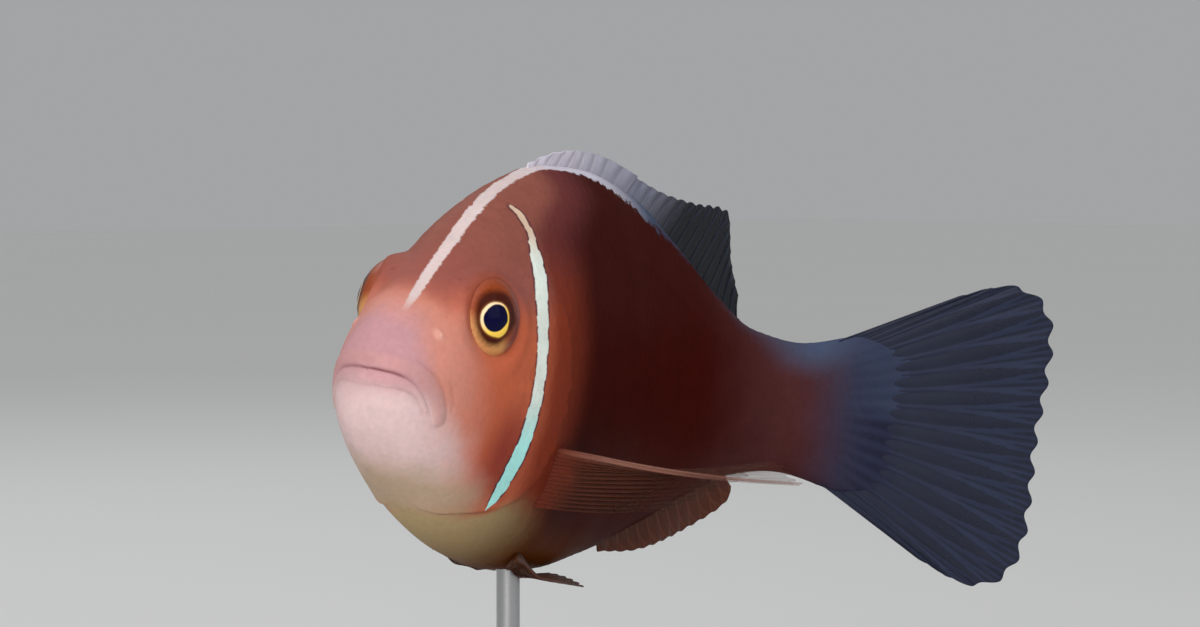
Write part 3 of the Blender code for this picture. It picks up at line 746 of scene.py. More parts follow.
class Recipe:
    """A material being written: node() adds any node, and the rest are short ways to it."""

    def __init__(self, name, **plain):
        self.material = bpy.data.materials.new(name)
        self.material.use_nodes = True
        self.tree = self.material.node_tree
        self.shader = self.tree.nodes["Principled BSDF"]
        for socket, value in plain.items():
            self.shader.inputs[socket.replace("_", " ")].default_value = value

    def node(self, kind, settings=None, sockets=None, output=0):
        """Adds a node: its settings first (stops is a list of curve points), then the value
        or link of each socket, by number or name.  Gives one output."""
        made = self.tree.nodes.new(kind)
        for key, value in (settings or {}).items():
            if key == "stops":
                points = made.mapping.curves[0].points
                for x, y in value[1:-1]:
                    points.new(x, y)
                for point, place in zip(points, value):
                    point.location = place
                    point.handle_type = "AUTO_CLAMPED"
                made.mapping.update()
            else:
                setattr(made, key, value)
        for key, value in (sockets or {}).items():
            if isinstance(value, Value):
                self.tree.links.new(value.socket, made.inputs[key])
            else:
                made.inputs[key].default_value = value
        return Value(self, made.outputs[output])

    def feed(self, **sockets):
        """Links values to the shader's sockets, named with _ for each space."""
        for key, value in sockets.items():
            self.tree.links.new(value.socket, self.shader.inputs[key.replace("_", " ")])
        return self.material

    def attribute(self, name, output=2):
        """A number that the mesh holds, or its vector by output 1."""
        return self.node("ShaderNodeAttribute", {"attribute_name": name}, output=output)

    def parts(self, vector):
        """The three numbers of a vector."""
        return [self.node("ShaderNodeSeparateXYZ", None, {0: vector}, k) for k in range(3)]

    def vector(self, name):
        """An attribute's vector and its three parts."""
        whole = self.attribute(name, 1)
        return whole, self.parts(whole)

    def object_place(self):
        """Object coordinates."""
        return self.node("ShaderNodeTexCoord", None, None, 3)

    def step(self, value, low, high):
        """0 up to low and 1 from high, with a smooth step between; low may be the larger."""
        return self.node("ShaderNodeMapRange", {"interpolation_type": "SMOOTHSTEP"},
                         {0: value, 1: low, 2: high, 3: 0.0, 4: 1.0})

    def curve(self, value, stops):
        """A smooth curve through (value, result) stops, level past its ends."""
        data = np.array(stops, dtype=float)
        low, high = data.min(axis=0), data.max(axis=0)
        span = np.maximum(high - low, 1e-9)
        places = [tuple(float(part) for part in place) for place in (data - low) / span]
        share_along = (value - float(low[0])) * float(1.0 / span[0])
        held = share_along.larger(0.0).smaller(1.0)
        result = self.node("ShaderNodeFloatCurve", {"stops": places}, {0: 1.0, 1: held})
        return result * float(span[1]) + float(low[1])

    def noise(self, vector, scale, detail):
        """Cloudy noise from 0 to 1, with so many finer layers."""
        return self.node("ShaderNodeTexNoise", None,
                         {"Vector": vector, "Scale": scale, "Detail": detail})

    def mix(self, mask, under, over, blend="MIX"):
        """One colour over another by a mask."""
        sockets = {0: mask}
        for key, value in ((6, under), (7, over)):
            sockets[key] = value if isinstance(value, Value) else (*value, 1.0)
        return self.node("ShaderNodeMix", {"data_type": "RGBA", "blend_type": blend}, sockets, 2)

    def shade(self, base, amount):
        """A colour times an amount, the same in all three parts."""
        grey = self.node("ShaderNodeCombineXYZ", None, {0: amount, 1: amount, 2: amount})
        return self.mix(1.0, base, grey, "MULTIPLY")

    def stretched(self, vector, x, y, z):
        """A place whose three parts are each times a number, so that a pattern on it has
        its own scale each way."""
        return self.node("ShaderNodeVectorMath", {"operation": "MULTIPLY"}, {0: vector, 1: (x, y, z)})

    def bump(self, height, distance, strength):
        """A normal that leans as a surface of this height would."""
        return self.node("ShaderNodeBump", None,
                         {"Strength": strength, "Distance": distance, "Height": height})


def oval(recipe, s, z, centre, radii, soft=0.5):
    """1 in the middle of an oval patch, easing to 0 at its edge."""
    across = (s - centre[0]) / radii[0]
    up = (z - centre[1]) / radii[1]
    far = (across * across + up * up) ** 0.5
    return recipe.step(far, 1.0, 1.0 - soft)


# Markings: lines over the distance (or height) where a colour ends or a band lies
STRIPE_MIDDLE = ((0.05, -0.0105), (0.09, -0.0075), (0.13, -0.0052), (0.19, -0.003), (0.30, 0.0),
                 (1.0, 0.0))
STRIPE_HALF = ((0.05, 0.0030), (0.07, 0.0050), (0.13, 0.0064), (0.20, 0.0078), (0.31, 0.0090),
               (0.38, 0.0150), (0.46, 0.0200), (0.54, 0.0280), (0.60, 0.0300), (0.66, 0.0240),
               (0.74, 0.0140), (0.84, 0.0120), (1.0, 0.0120))
BAR_MIDDLE = ((-0.131, 0.2085), (-0.1245, 0.2110), (-0.097, 0.2139), (-0.072, 0.2202),
              (-0.045, 0.2240), (-0.018, 0.2268), (0.010, 0.2285), (0.040, 0.2292),
              (0.092, 0.2305), (0.120, 0.2350), (0.140, 0.2368), (0.165, 0.2415), (0.184, 0.2375))
BAR_HALF = ((-0.138, -0.006), (-0.131, 0.0014), (-0.1245, 0.0050), (-0.097, 0.0121),
            (-0.072, 0.0138), (-0.045, 0.0133), (-0.018, 0.0126), (0.010, 0.0114), (0.040, 0.0110),
            (0.092, 0.0112), (0.120, 0.0116), (0.130, 0.0108), (0.140, 0.0086), (0.150, 0.0064),
            (0.165, 0.0053), (0.176, 0.0058), (0.182, 0.0030), (0.186, -0.002), (0.192, -0.008))
CHEEK_START = ((-0.06, 0.118), (0.0, 0.110), (0.05, 0.102), (0.09, 0.058), (0.15, 0.038))
CHIN_END = ((-0.125, 0.178), (-0.10, 0.146), (-0.08, 0.118), (-0.06, 0.092), (-0.04, 0.066),
            (-0.02, 0.030), (0.0, -0.010), (0.02, -0.050), (0.04, -0.080))
STALK_RIDGE = BACK[-5:]
BREAST_TOP = ((0.08, -0.118), (0.13, -0.136), (0.18, -0.138), (0.2157, -0.134), (0.26, -0.122),
              (0.33, -0.136), (0.42, -0.160), (0.60, -0.165), (0.80, -0.105))


# A place on the straight body as the markings read it: its three numbers, coarse and fine
# noise from -0.5 to 0.5, and its distance and height made uneven by the coarse noise
Spot = namedtuple("Spot", "s y z broad fine loose level")


def head_ground(recipe, colours, at):
    """Snout and face, the brow and nape over them, the cheek behind, and the pale chin."""
    base = recipe.mix(recipe.step(at.loose, 0.020, 0.060), colours.snout, colours.face)
    base = recipe.mix(recipe.step(at.level, 0.060, 0.100) * 0.3, base, colours.brow)
    side = recipe.mix(recipe.step(at.level, 0.050, 0.100), colours.cheek, colours.brow)
    side = recipe.mix(recipe.step(at.level, 0.090, 0.150), side, colours.nape)
    behind = at.loose - recipe.curve(at.level, CHEEK_START)
    base = recipe.mix(recipe.step(behind, -0.045, 0.045), base, side)
    low = oval(recipe, at.s, at.z, (0.194, -0.072), (0.066, 0.074), 0.9)
    base = recipe.mix(low * 0.85, base, colours.low_cheek)
    chin = recipe.step(at.loose - recipe.curve(at.level, CHIN_END), 0.050, -0.055)
    chin = chin * recipe.step(at.z, 0.012, -0.034)
    pale = recipe.mix(recipe.step(at.level, -0.070, -0.120), colours.chin, colours.jaw)
    return recipe.mix(chin, base, pale)


def trunk_ground(recipe, colours, at, base):
    """Shoulder and the middle of the trunk from the bar back, darker towards the rear: partly the
    fish's own colour, partly painted shade where the light falls off over the trunk.  Both start
    further back near the ridge.
    """
    past = at.loose - recipe.step(at.z, 0.15, 0.22) * 0.09
    shoulder = recipe.mix(recipe.step(at.level, 0.080, 0.170), colours.shoulder,
                          colours.shoulder_top)
    base = recipe.mix(recipe.step(past, 0.222, 0.272), base, shoulder)
    # Painted shade, partly the fish's own colour: the middle of the trunk is darkest
    return recipe.mix(recipe.step(past, 0.262, 0.380), base, colours.flank_and_shade)


def tail_ground(recipe, colours, at, base):
    """Tail stalk with its bluish ridge, and the lobe on the tail fin, where the fin's rays
    show through as a cosine wave across their fan."""
    base = recipe.mix(recipe.step(at.loose, 0.70, 0.90), base, colours.stalk)
    base = recipe.mix(recipe.step(at.loose, 0.92, 1.02), base, colours.stalk_end)
    high = recipe.step(at.z - recipe.curve(at.s, STALK_RIDGE), -0.050, -0.004)
    high = high * recipe.step(at.loose, 0.84, 0.95) * recipe.step(at.loose, 1.04, 0.95)
    base = recipe.mix(high * 0.9, base, colours.stalk_top)
    lobe = recipe.step(at.loose, 0.975, 1.055)
    base = recipe.mix(lobe * 0.85, base, colours.lobe)
    fan = tail_fan()
    across = (at.z - fan.middle) / ((at.s - fan.start).larger(0.0) * fan.spread + fan.half)
    wave = (across * (math.pi * (TAIL_RAYS - 1))).cosine()
    return recipe.shade(base, 1.0 + lobe * wave * 0.17)


def belly_ground(recipe, colours, at, base):
    """Breast and belly under a line that grows softer past the throat; the belly, darker towards the
    rear, is partly its own colour and partly painted shade under the trunk.
    """
    under = recipe.mix(recipe.step(at.loose, 0.15, 0.38), colours.breast, colours.belly)
    blur = 0.012 + recipe.step(at.s, 0.22, 0.32) * 0.020
    low = recipe.step((recipe.curve(at.s, BREAST_TOP) - at.level) / blur, -0.6, 1.0)
    low = low * recipe.step(at.loose, 0.66, 0.42)
    return recipe.mix(low, base, under)


def face_details(recipe, colours, at, base):
    """Lips, the rim round each eye and the spot round each nostril."""
    base = recipe.mix(recipe.attribute("lip") * 0.6, base, colours.lips)
    over = at.z - at.s * 0.5
    rim = recipe.mix(recipe.step(over, -0.030, -0.005), colours.under_eye, colours.over_eye)
    cover = recipe.step(over, -0.030, 0.010) * 0.45 + 0.05
    cover = cover * (1.0 - recipe.step(at.s, 0.150, 0.180) * 0.8)
    base = recipe.mix(recipe.attribute("by_eye") * cover, base, rim)
    spot = oval(recipe, at.s, at.z, NOSTRIL, (0.0085, 0.0085), 0.9)
    return recipe.mix(spot * 0.5, base, colours.nostril)


def back_stripe(recipe, colours, at, base):
    """The stripe from the forehead, which goes on as a pale ridge under the dorsal fin and
    fades to blue; its edges grow softer and more ragged on the way."""
    edge = abs(at.y - recipe.curve(at.s, STRIPE_MIDDLE)) - recipe.curve(at.s, STRIPE_HALF)
    edge = edge + at.fine * (0.0050 + recipe.step(at.s, 0.36, 0.56) * 0.016)
    edge = edge + at.broad * recipe.step(at.s, 0.30, 0.60) * 0.020
    soft = 0.0012 + recipe.step(at.s, 0.55, 0.80) * 0.0120
    stripe = recipe.step(edge, soft, 0.0 - soft) * recipe.step(at.z, 0.0, 0.02)
    stripe = stripe * recipe.step(at.s, 0.036, 0.064)
    stripe = stripe * (1.0 - recipe.step(at.s, 0.60, 0.78) * 0.6)
    pale = recipe.mix(recipe.step(at.s, 0.29, 0.42), colours.stripe, colours.crest)
    pale = recipe.mix(recipe.step(at.s, 0.46, 0.62), pale, colours.stalk_top)
    return recipe.mix(stripe, base, pale)


def white_bar(recipe, colours, at, base):
    """The bar behind the eye over its thin dark line, bluish towards its lower end."""
    edge = abs(at.s - recipe.curve(at.z, BAR_MIDDLE)) - recipe.curve(at.z, BAR_HALF)
    edge = edge + at.fine * 0.0036
    dark = recipe.step(edge, 0.0042, 0.0012) * recipe.step(abs(at.z - 0.03), 0.160, 0.150)
    dark = dark * (0.60 + recipe.step(at.z, 0.02, -0.05) * 0.25)
    base = recipe.mix(dark, base, colours.outline)
    white = recipe.mix(recipe.step(at.z, 0.165, 0.125), colours.bar_top, colours.bar_middle)
    white = recipe.mix(recipe.step(at.z, 0.0, -0.070), white, colours.bar_low)
    return recipe.mix(recipe.step(edge, 0.0009, -0.0009), base, white)


def markings(recipe, colours):
    """The fish's colours at a place on its straight body, laid one over the other from the head's
    ground to the bar, then fine mottling and the painted shade of the creases."""
    whole, (s, y, z) = recipe.vector("straight")
    broad = recipe.noise(whole, 22.0, 3.0) - 0.5
    fine = recipe.noise(whole, 160.0, 3.0) - 0.5
    at = Spot(s, y, z, broad, fine, s + broad * 0.03, z + broad * 0.03)
    base = head_ground(recipe, colours, at)
    for layer in (trunk_ground, tail_ground, belly_ground, face_details, back_stripe, white_bar):
        base = layer(recipe, colours, at, base)
    base = recipe.shade(base, 1.0 + broad * 0.30 + fine * 0.22)
    # Painted shade in the slit, the grooves, along the gill cover's edge and in the first pores
    base = recipe.mix(recipe.attribute("crease"), base, colours.lip_shadow)
    return base, whole, fine


def skin_material(name, colours, shape, scaled):
    """Wet skin: the markings, fine pores in its bump and a soft clear coat.  Scales add
    growth rings and rays of their own."""
    recipe = Recipe(name, Subsurface_Weight=0.12, Subsurface_Radius=(1.0, 0.45, 0.30),
                    Subsurface_Scale=0.0009, Coat_Weight=shape.sheen, Coat_Roughness=0.24,
                    Specular_IOR_Level=0.01)
    base, whole, fine = markings(recipe, colours)
    pores = recipe.noise(whole, 520.0, 3.0)
    rough = 0.48 + fine * 0.16
    bumps = pores
    if scaled:
        _, (along, across, own) = recipe.vector("plate")
        rings = (along * 46.0).sine()
        rays = (across * 30.0).sine()
        bumps = pores * 0.5 + rings * 0.05 + rays * recipe.step(along, 0.45, 0.9) * 0.05
        rim = recipe.step(along, 0.80, 1.0)
        base = recipe.shade(base, 0.97 + own * 0.06 + rim * 0.04)
        rough = rough - rim * 0.06
    return recipe.feed(Base_Color=base, Roughness=rough,
                       Normal=recipe.bump(bumps, 0.00004, 0.5))


# ---------------------------------------------------------------- skin

SKIN_SIDES = 368
HEAD_RINGS = 172
TRUNK_RINGS = 76
TAIL_RINGS = 12

# The skin's map: the distance that fills it, and the last pole's place in that
MAP_LENGTH = 1.1
MAP_END = 1.09

# The lobe past the tail stalk: how long it is, and the fin's rays under it: their number,
# the fan's half spread at the fin's edge and how far they stand up
TAIL_TAPER = 0.085
TAIL_RAYS = 17
RAY_FAN = 0.297
RAY_RISE = 0.0015
TailFan = namedtuple("TailFan", "start middle half spread")


def skin_point(distance, angle):
    """The body, and past its stalk a lobe that thins smoothly into the tail: its breadth
    falls by the S-curve of ease."""
    grid = body_point(distance, angle)
    past = np.clip((distance - STALK_END) / TAIL_TAPER, 0.0, 0.98)
    grid[..., 1] *= 1.0 - ease(past)
    grid[..., 2] *= 1.0 - 0.22 * past ** 2
    return grid


def tail_fan():
    """Where the tail's rays start, the height of their middle, half their spread there, and
    how much wider half their spread grows for each step outward."""
    root, edge = tail_lines()
    start, middle = root.mean(axis=0)
    half = 0.5 * (root[1, 1] - root[0, 1])
    return TailFan(start, middle, half, (RAY_FAN - half) / (edge[:, 0].max() - start))


def tail_ridges(plain):
    """Height of the tail's rays under the skin of its root: a cosine wave across the fan of
    rays, rising towards the edge of the lobe."""
    fan = tail_fan()
    outward = np.maximum(plain[..., 0] - fan.start, 0.0)
    across = (plain[..., 2] - fan.middle) / (fan.half + fan.spread * outward)
    wave = 0.5 + 0.5 * np.cos(math.pi * (TAIL_RAYS - 1) * across)
    return RAY_RISE * wave * ease((plain[..., 0] - STALK_END) / TAIL_TAPER + 0.25)


def skin_normal(distance, angle):
    """Unit normal of the skin, from small steps along and around it."""
    step = 0.0015
    turn = 0.02
    along = skin_point(distance + step, angle) - skin_point(np.maximum(distance - step, 0.0), angle)
    around = skin_point(distance, angle + turn) - skin_point(distance, angle - turn)
    normal = np.cross(around, along)
    return normal / np.maximum(np.linalg.norm(normal, axis=-1, keepdims=True), 1e-12)


def mirror_side(points):
    """The same points on the right side, and the sign that takes them back."""
    side = np.where(points[..., 1] < 0.0, -1.0, 1.0)
    return np.stack([points[..., 0], np.abs(points[..., 1]), points[..., 2]], axis=-1), side


def skin_distances():
    """Distances of the skin's rings from the snout to the end of the lobe, closer where the
    head is fine and where the lobe ends."""
    part = np.arange(1, HEAD_RINGS + 1) / HEAD_RINGS
    head = HEAD_END * (0.05 * part + 0.95 * part ** 2)
    trunk = np.linspace(HEAD_END, STALK_END, TRUNK_RINGS + 1)[1:]
    tail = STALK_END + TAIL_TAPER * np.sin(np.linspace(0.0, 0.5 * math.pi, TAIL_RINGS + 1))[1:]
    return np.concatenate([head, trunk, tail])


def skin_map(distances, places):
    """UV places of the skin's faces: once round the body along u, and its distance along v.
    In the fans at its ends each pole takes the middle of its triangle."""
    maps = [np.stack([places[..., 1] / SKIN_SIDES, distances[places[..., 0]] / MAP_LENGTH],
                     axis=-1)]
    side = np.arange(SKIN_SIDES)[:, None]
    first = distances[0]
    last = distances[-1]
    for round_steps, distance in (((0.5, 1.0, 0.0), (0.0, first, first)),
                                  ((0.0, 1.0, 0.5), (last, last, MAP_END))):
        u = (side + round_steps) / SKIN_SIDES
        v = np.broadcast_to(distance, u.shape) / MAP_LENGTH
        maps.append(np.stack([u, v], axis=-1))
    return maps


def skin_arrays(shape):
    """Rings of the body from the snout to the tail's root, moved out along their normals by the relief
    and drawn onto the eyes, between a pole at each end.  The painted shade of the mouth's line is
    fainter on the right."""
    distances = skin_distances()
    distance = distances[:, None]
    angle = np.linspace(0.0, 2.0 * math.pi, SKIN_SIDES, endpoint=False)[None, :]
    plain = skin_point(distance, angle)
    mirrored, _ = mirror_side(plain)
    height, crease, lips = skin_relief(mirrored, shape)
    height = height + tail_ridges(plain)
    # The painted shade of the mouth's line is fainter on the right side of the snout
    crease = crease * (1.0 - 0.65 * ease(plain[..., 1] / 0.012) * ease((0.09 - distance) / 0.03))
    depth = fraction(shape.skin_depth) * ease((distance - 0.12) / 0.08)
    grid = plain + skin_normal(distance, angle) * (height - depth)[..., None]
    mirrored, side = mirror_side(grid)
    move, ring = eye_opening(mirrored, side)
    move[..., 1] *= side
    grid = grid + move
    by_eye = 1.0 - ease((ring - 1.0) / 0.34)

    tip_height, tip_crease_shade, _ = skin_relief(np.zeros((1, 3)), shape)
    tip = np.array([[-tip_height[0], 0.0, 0.0]])
    points = np.concatenate([tip, grid.reshape(-1, 3), grid[-1:].mean(axis=1)])
    straight = np.concatenate([[[0.0, 0.0, 0.0]], plain.reshape(-1, 3), plain[-1:].mean(axis=1)])
    values = {"straight": straight,
              "crease": np.concatenate([tip_crease_shade, crease.ravel(), [0.0]]),
              "lip": np.concatenate([[0.5], lips.ravel(), [0.0]]),
              "by_eye": np.concatenate([[0.0], by_eye.ravel(), [0.0]])}
    faces, places = globe_faces(len(distances), SKIN_SIDES)
    return place(points), faces, skin_map(distances, places), values


class CLOWNFISH_OT_skin(bpy.types.Operator):
    """One skin over head, jaw, gill covers, trunk and tail stalk"""
    bl_idname = "clownfish.skin"
    bl_label = "Skin"

    def execute(self, context):
        scene = context.scene
        material = skin_material("wet_skin", scene.fish_colours, scene.fish_shape, False)
        points, faces, maps, values = skin_arrays(scene.fish_shape)
        skin = add_piece("skin", points, faces, material, maps, values)
        dress(skin, "skin", "head", "lower_jaw", "gill_cover_left", "gill_cover_right", "trunk",
              "tail_stalk")
        return {"FINISHED"}


# ---------------------------------------------------------------- scales

# Steps along and across one scale, how far its underside lies under the skin, half the size
# of its patch on the map, the least angle of its sharp edges, and where the head's relief ends
PLATE_ALONG, PLATE_ACROSS = np.meshgrid((0.0, 0.36, 0.66, 0.88, 1.0),
                                        (-1.0, -0.55, 0.0, 0.55, 1.0), indexing="ij")
PLATE_DEPTH = 0.0022
PATCH_HALF = 0.0015
PLATE_SHARP = 50.0
RELIEF_END = 0.34

# Rows of scales: where the head's begin, how many rows there may be on each side of the
# middle line, the step between them and what they leave free at ridge and belly, in spacings
FIRST_SCALES = 0.125
ROWS_EACH_WAY = 40
ROW_STEP = 1.05
FREE_EDGE = 0.30
SCALE_SEED = 11


def arc_table():
    """For one side of the body: at even stations, the angle at even shares of the way from
    the ridge down to the belly, the whole way, and the way to where the body is widest."""
    stations = np.linspace(0.08, STALK_END + 0.9 * TAIL_TAPER, 220)
    angles = np.linspace(0.0, math.pi, 361)
    grid = skin_point(stations[:, None], angles[None, :])
    steps = np.linalg.norm(np.diff(grid, axis=1), axis=-1)
    arc = np.concatenate([np.zeros((len(stations), 1)), np.cumsum(steps, axis=1)], axis=1)
    shares = np.linspace(0.0, 1.0, 241)
    angle_at = np.array([np.interp(shares * way[-1], way, angles) for way in arc])
    return stations, angle_at, arc[:, -1], arc[:, len(angles) // 2]


def angle_on(table, distance, way):
    """Angle of the point that lies way down from the ridge at a distance.  A way past the
    ridge or the belly goes on along the other side."""
    stations, angle_at, whole, _ = table
    part = way / np.interp(distance, stations, whole)
    inside = np.where(part < 0.0, -part, np.where(part > 1.0, 2.0 - part, part))
    row = np.clip((distance - stations[0]) / (stations[1] - stations[0]), 0.0, len(stations) - 1.001)
    column = np.clip(inside, 0.0, 1.0) * (angle_at.shape[1] - 1.001)
    i, j = row.astype(int), column.astype(int)
    a, b = row - i, column - j
    angle = ((1 - a) * ((1 - b) * angle_at[i, j] + b * angle_at[i, j + 1])
             + a * ((1 - b) * angle_at[i + 1, j] + b * angle_at[i + 1, j + 1]))
    return np.where(part < 0.0, -angle, np.where(part > 1.0, 2.0 * math.pi - angle, angle))


def scale_size(distance):
    """Share of the full size: scales grow smaller along the tail stalk."""
    return np.interp(distance, (0.55, 0.80, 1.0), (1.0, 0.76, 0.62))


def scale_roots(table, first, last, spacing, random):
    """Rows of roots that keep their distance from the side's middle line, every other row
    half a step on; rows end where they reach the ridge or the belly."""
    stations, _, whole, middle = table
    half_steps = [first]
    while half_steps[-1] < last:
        half_steps.append(half_steps[-1] + 0.5 * spacing * float(scale_size(half_steps[-1])))
    columns = np.arange((len(half_steps) - 1) // 2)
    rows = np.arange(-ROWS_EACH_WAY, ROWS_EACH_WAY + 1)
    row, column = np.meshgrid(rows, columns, indexing="ij")
    distance = np.array(half_steps)[2 * column + row % 2]
    distance += random.uniform(-0.04, 0.04, distance.shape) * spacing
    way = np.interp(distance, stations, middle) + row * spacing * scale_size(distance) * ROW_STEP
    way += random.uniform(-0.03, 0.03, distance.shape) * spacing
    limit = np.interp(distance, stations, whole)
    free = FREE_EDGE * spacing
    inside = (way > free) & (way < limit - free) & (distance < last)
    return distance[inside], way[inside]


def scale_grid(table, roots, spacing, random):
    """Distance and angle on the body of each scale's points.  They are (along, across) steps
    from its root: its rear edge is round, and it leans and grows a little by chance."""
    distance, way = roots
    number = len(distance)
    spacing = spacing * scale_size(distance)[:, None, None]
    grow = 1.0 + random.uniform(-0.05, 0.05, (number, 1, 1))
    rear = 0.74 - 0.34 * np.abs(PLATE_ACROSS) ** 2.3
    x = (-0.70 + (rear + 0.70) * PLATE_ALONG) * spacing * grow
    w = PLATE_ACROSS * (0.60 + 0.06 * PLATE_ALONG) * spacing * grow
    lean = random.uniform(-0.05, 0.05, (number, 1, 1))
    station = distance[:, None, None] + x - lean * w
    stations, _, _, middle = table
    shift = np.interp(station, stations, middle)
    shift -= np.interp(distance, stations, middle)[:, None, None]
    return station, angle_on(table, station, way[:, None, None] + shift + w + lean * x)


def scale_sides(plain, station, angle, side, shape, random):
    """Top and underside of the scales over the plain body: both follow the skin's relief,
    the top rises towards its rear edge and its middle, and the front lies under the skin."""
    mirrored, _ = mirror_side(plain)
    if station.min() < RELIEF_END:
        height, _, _ = skin_relief(mirrored, shape)
        move, _ = eye_opening(mirrored, side)
        move[..., 1] *= -1.0
    else:
        height = tail_ridges(plain)
        move = 0.0
    gap, _, _ = near_line(mirrored, side_line(LATERAL_LINE))
    height = height + 0.0007 * notch(gap, 0.0026)
    lift = fraction(shape.scale_lift) * (1.0 + random.uniform(-0.25, 0.25, (len(plain), 1, 1)))
    rise = -0.35 * lift + 1.35 * lift * PLATE_ALONG * (1.0 - 0.35 * PLATE_ACROSS ** 2)
    normal = skin_normal(station, angle)
    top = plain + move + normal * (height + rise - fraction(shape.skin_depth))[..., None]
    under = plain + move + normal * (height - PLATE_DEPTH)[..., None]
    return top, under


def scale_faces(number, rim):
    """Faces of so many scales: each has its top grid, a band down from its rim and one flat
    face under it, which only needs the rim's points."""
    grid, _ = grid_quads(*PLATE_ALONG.shape)
    under = PLATE_ALONG.size + np.arange(len(rim))
    band = np.stack([np.roll(rim, -1), rim, under, np.roll(under, -1)], axis=1)
    first = (np.arange(number) * (PLATE_ALONG.size + len(rim)))[:, None, None]
    return [(np.concatenate([grid, band])[None] + first).reshape(-1, 4),
            (under[None, None] + first).reshape(-1, len(rim))]


def scale_arrays(table, roots, spacing, side, shape, random):
    """Each scale is a small closed plate that follows the body: its front lies under the
    skin, its rear edge is round and stands free.  It is worked out on the fish's left and
    mirrored for the right."""
    number = len(roots[0])
    station, angle = scale_grid(table, roots, spacing, random)
    plain = skin_point(station, angle)
    top, under = scale_sides(plain, station, angle, side, shape, random)
    top, under, plain = (grid.reshape(number, -1, 3) for grid in (top, under, plain))
    rim = rim_numbers(*PLATE_ALONG.shape)
    points = np.concatenate([top, under[:, rim]], axis=1)
    root_angle = angle_on(table, *roots)
    centre = skin_point(roots[0], root_angle)
    exact = np.concatenate([plain, plain[:, rim]], axis=1)
    straight = 0.85 * exact + 0.15 * centre[:, None, :]

    pattern = np.stack([PLATE_ALONG.ravel(), PLATE_ACROSS.ravel()], axis=1)
    pattern = np.concatenate([pattern, pattern[rim]])
    own = np.repeat(random.uniform(0.0, 1.0, (number, 1)), len(pattern), axis=1)
    plate_values = np.concatenate([np.broadcast_to(pattern, (number, len(pattern), 2)),
                                   own[..., None]], axis=-1)
    root_map = np.stack([root_angle / (2.0 * math.pi), roots[0] / MAP_LENGTH], axis=1)
    local = PATCH_HALF * np.stack([pattern[:, 1], 2.0 * pattern[:, 0] - 1.0], axis=1)
    if side > 0.0:
        for array in (points, straight):
            array[..., 1] *= -1.0
        root_map[:, 0] = 1.0 - root_map[:, 0]
        local = local * (-1.0, 1.0)
    vertex_map = (root_map[:, None, :] + local[None]).reshape(-1, 2)
    faces = scale_faces(number, rim)
    maps = [vertex_map[group] for group in faces]
    values = {"straight": straight.reshape(-1, 3), "plate": plate_values.reshape(-1, 3)}
    return place(points.reshape(-1, 3)), faces, maps, values


def keep_head_scales(table, distance, way):
    """Head scales grow on the nape and from the cheek back, not on the snout, round the
    eye or under the throat."""
    point = skin_point(distance, angle_on(table, distance, way))
    mirrored, _ = mirror_side(point)
    _, ring = eye_opening(mirrored, -1.0)
    z = point[..., 2]
    start = np.interp(z, (-0.14, -0.10, -0.02, 0.04, 0.10, 0.13, 0.17),
                      (0.215, 0.190, 0.180, 0.185, 0.165, 0.130, 0.130))
    gap, _, side = near_line(mirrored, side_line(GILL_EDGE))
    return (distance > start) & (ring > 1.45) & ~((side < 0.0) & (gap < 0.012)) & (z > -0.132)


class CLOWNFISH_OT_scales(bpy.types.Operator):
    """Overlapping scales on nape, cheeks, trunk and tail stalk"""
    bl_idname = "clownfish.scales"
    bl_label = "Scales"

    def execute(self, context):
        scene = context.scene
        shape = scene.fish_shape
        material = skin_material("scale_coat", scene.fish_colours, shape, True)
        table = arc_table()
        random = np.random.default_rng(SCALE_SEED)
        for side, side_name in ((-1.0, "left"), (1.0, "right")):
            spacing = fraction(shape.head_scale_spacing)
            distance, way = scale_roots(table, FIRST_SCALES, HEAD_END, spacing, random)
            keep = keep_head_scales(table, distance, way)
            head = (distance[keep], way[keep])
            trunk_spacing = fraction(shape.scale_spacing)
            trunk = scale_roots(table, HEAD_END, STALK_END + 0.5 * TAIL_TAPER, trunk_spacing,
                                random)
            for part, roots, size in (("head_", head, spacing), ("trunk_", trunk, trunk_spacing)):
                points, faces, maps, values = scale_arrays(table, roots, size, side, shape, random)
                piece = add_piece("scales_" + part + side_name, points, faces, material, maps, values)
                piece.data.set_sharp_from_angle(angle=math.radians(PLATE_SHARP))
                dress(piece, "skin")
        return {"FINISHED"}


# ---------------------------------------------------------------- eyes

EYE_RINGS = 72
EYE_SIDES = 96

# Where each eye looks: steps back and up for one step out of its socket
GAZE = {"left": (-0.276, -0.102), "right": (0.06, -0.08)}

# Edges of the pupil, of the ring round it and of the iris: angle in degrees from the rear,
# over the top, then the distance from the middle of the pupil
PUPIL_EDGE = ((-180, 0.0138), (-148, 0.0140), (-119, 0.0140), (-82, 0.0137), (-48, 0.0140),
              (-19, 0.0154), (4, 0.0166), (27, 0.0166), (40, 0.0166), (55, 0.0160), (72, 0.0149),
              (91, 0.0138), (110, 0.0128), (128, 0.0123), (144, 0.0123), (160, 0.0129),
              (180, 0.0138))
RING_EDGE = ((-180, 0.0170), (-148, 0.0176), (-117, 0.0178), (-81, 0.0190), (-57, 0.0206),
             (-36, 0.0202), (-18, 0.0187), (4, 0.0182), (27, 0.0186), (55, 0.0180), (90, 0.0161),
             (126, 0.0157), (158, 0.0165), (180, 0.0170))
IRIS_EDGE = ((-180, 0.0219), (-147, 0.0228), (-115, 0.0254), (-78, 0.0274), (-45, 0.0251),
             (-18, 0.0271), (4, 0.0305), (37, 0.0310), (86, 0.0274), (124, 0.0262), (157, 0.0233),
             (180, 0.0219))


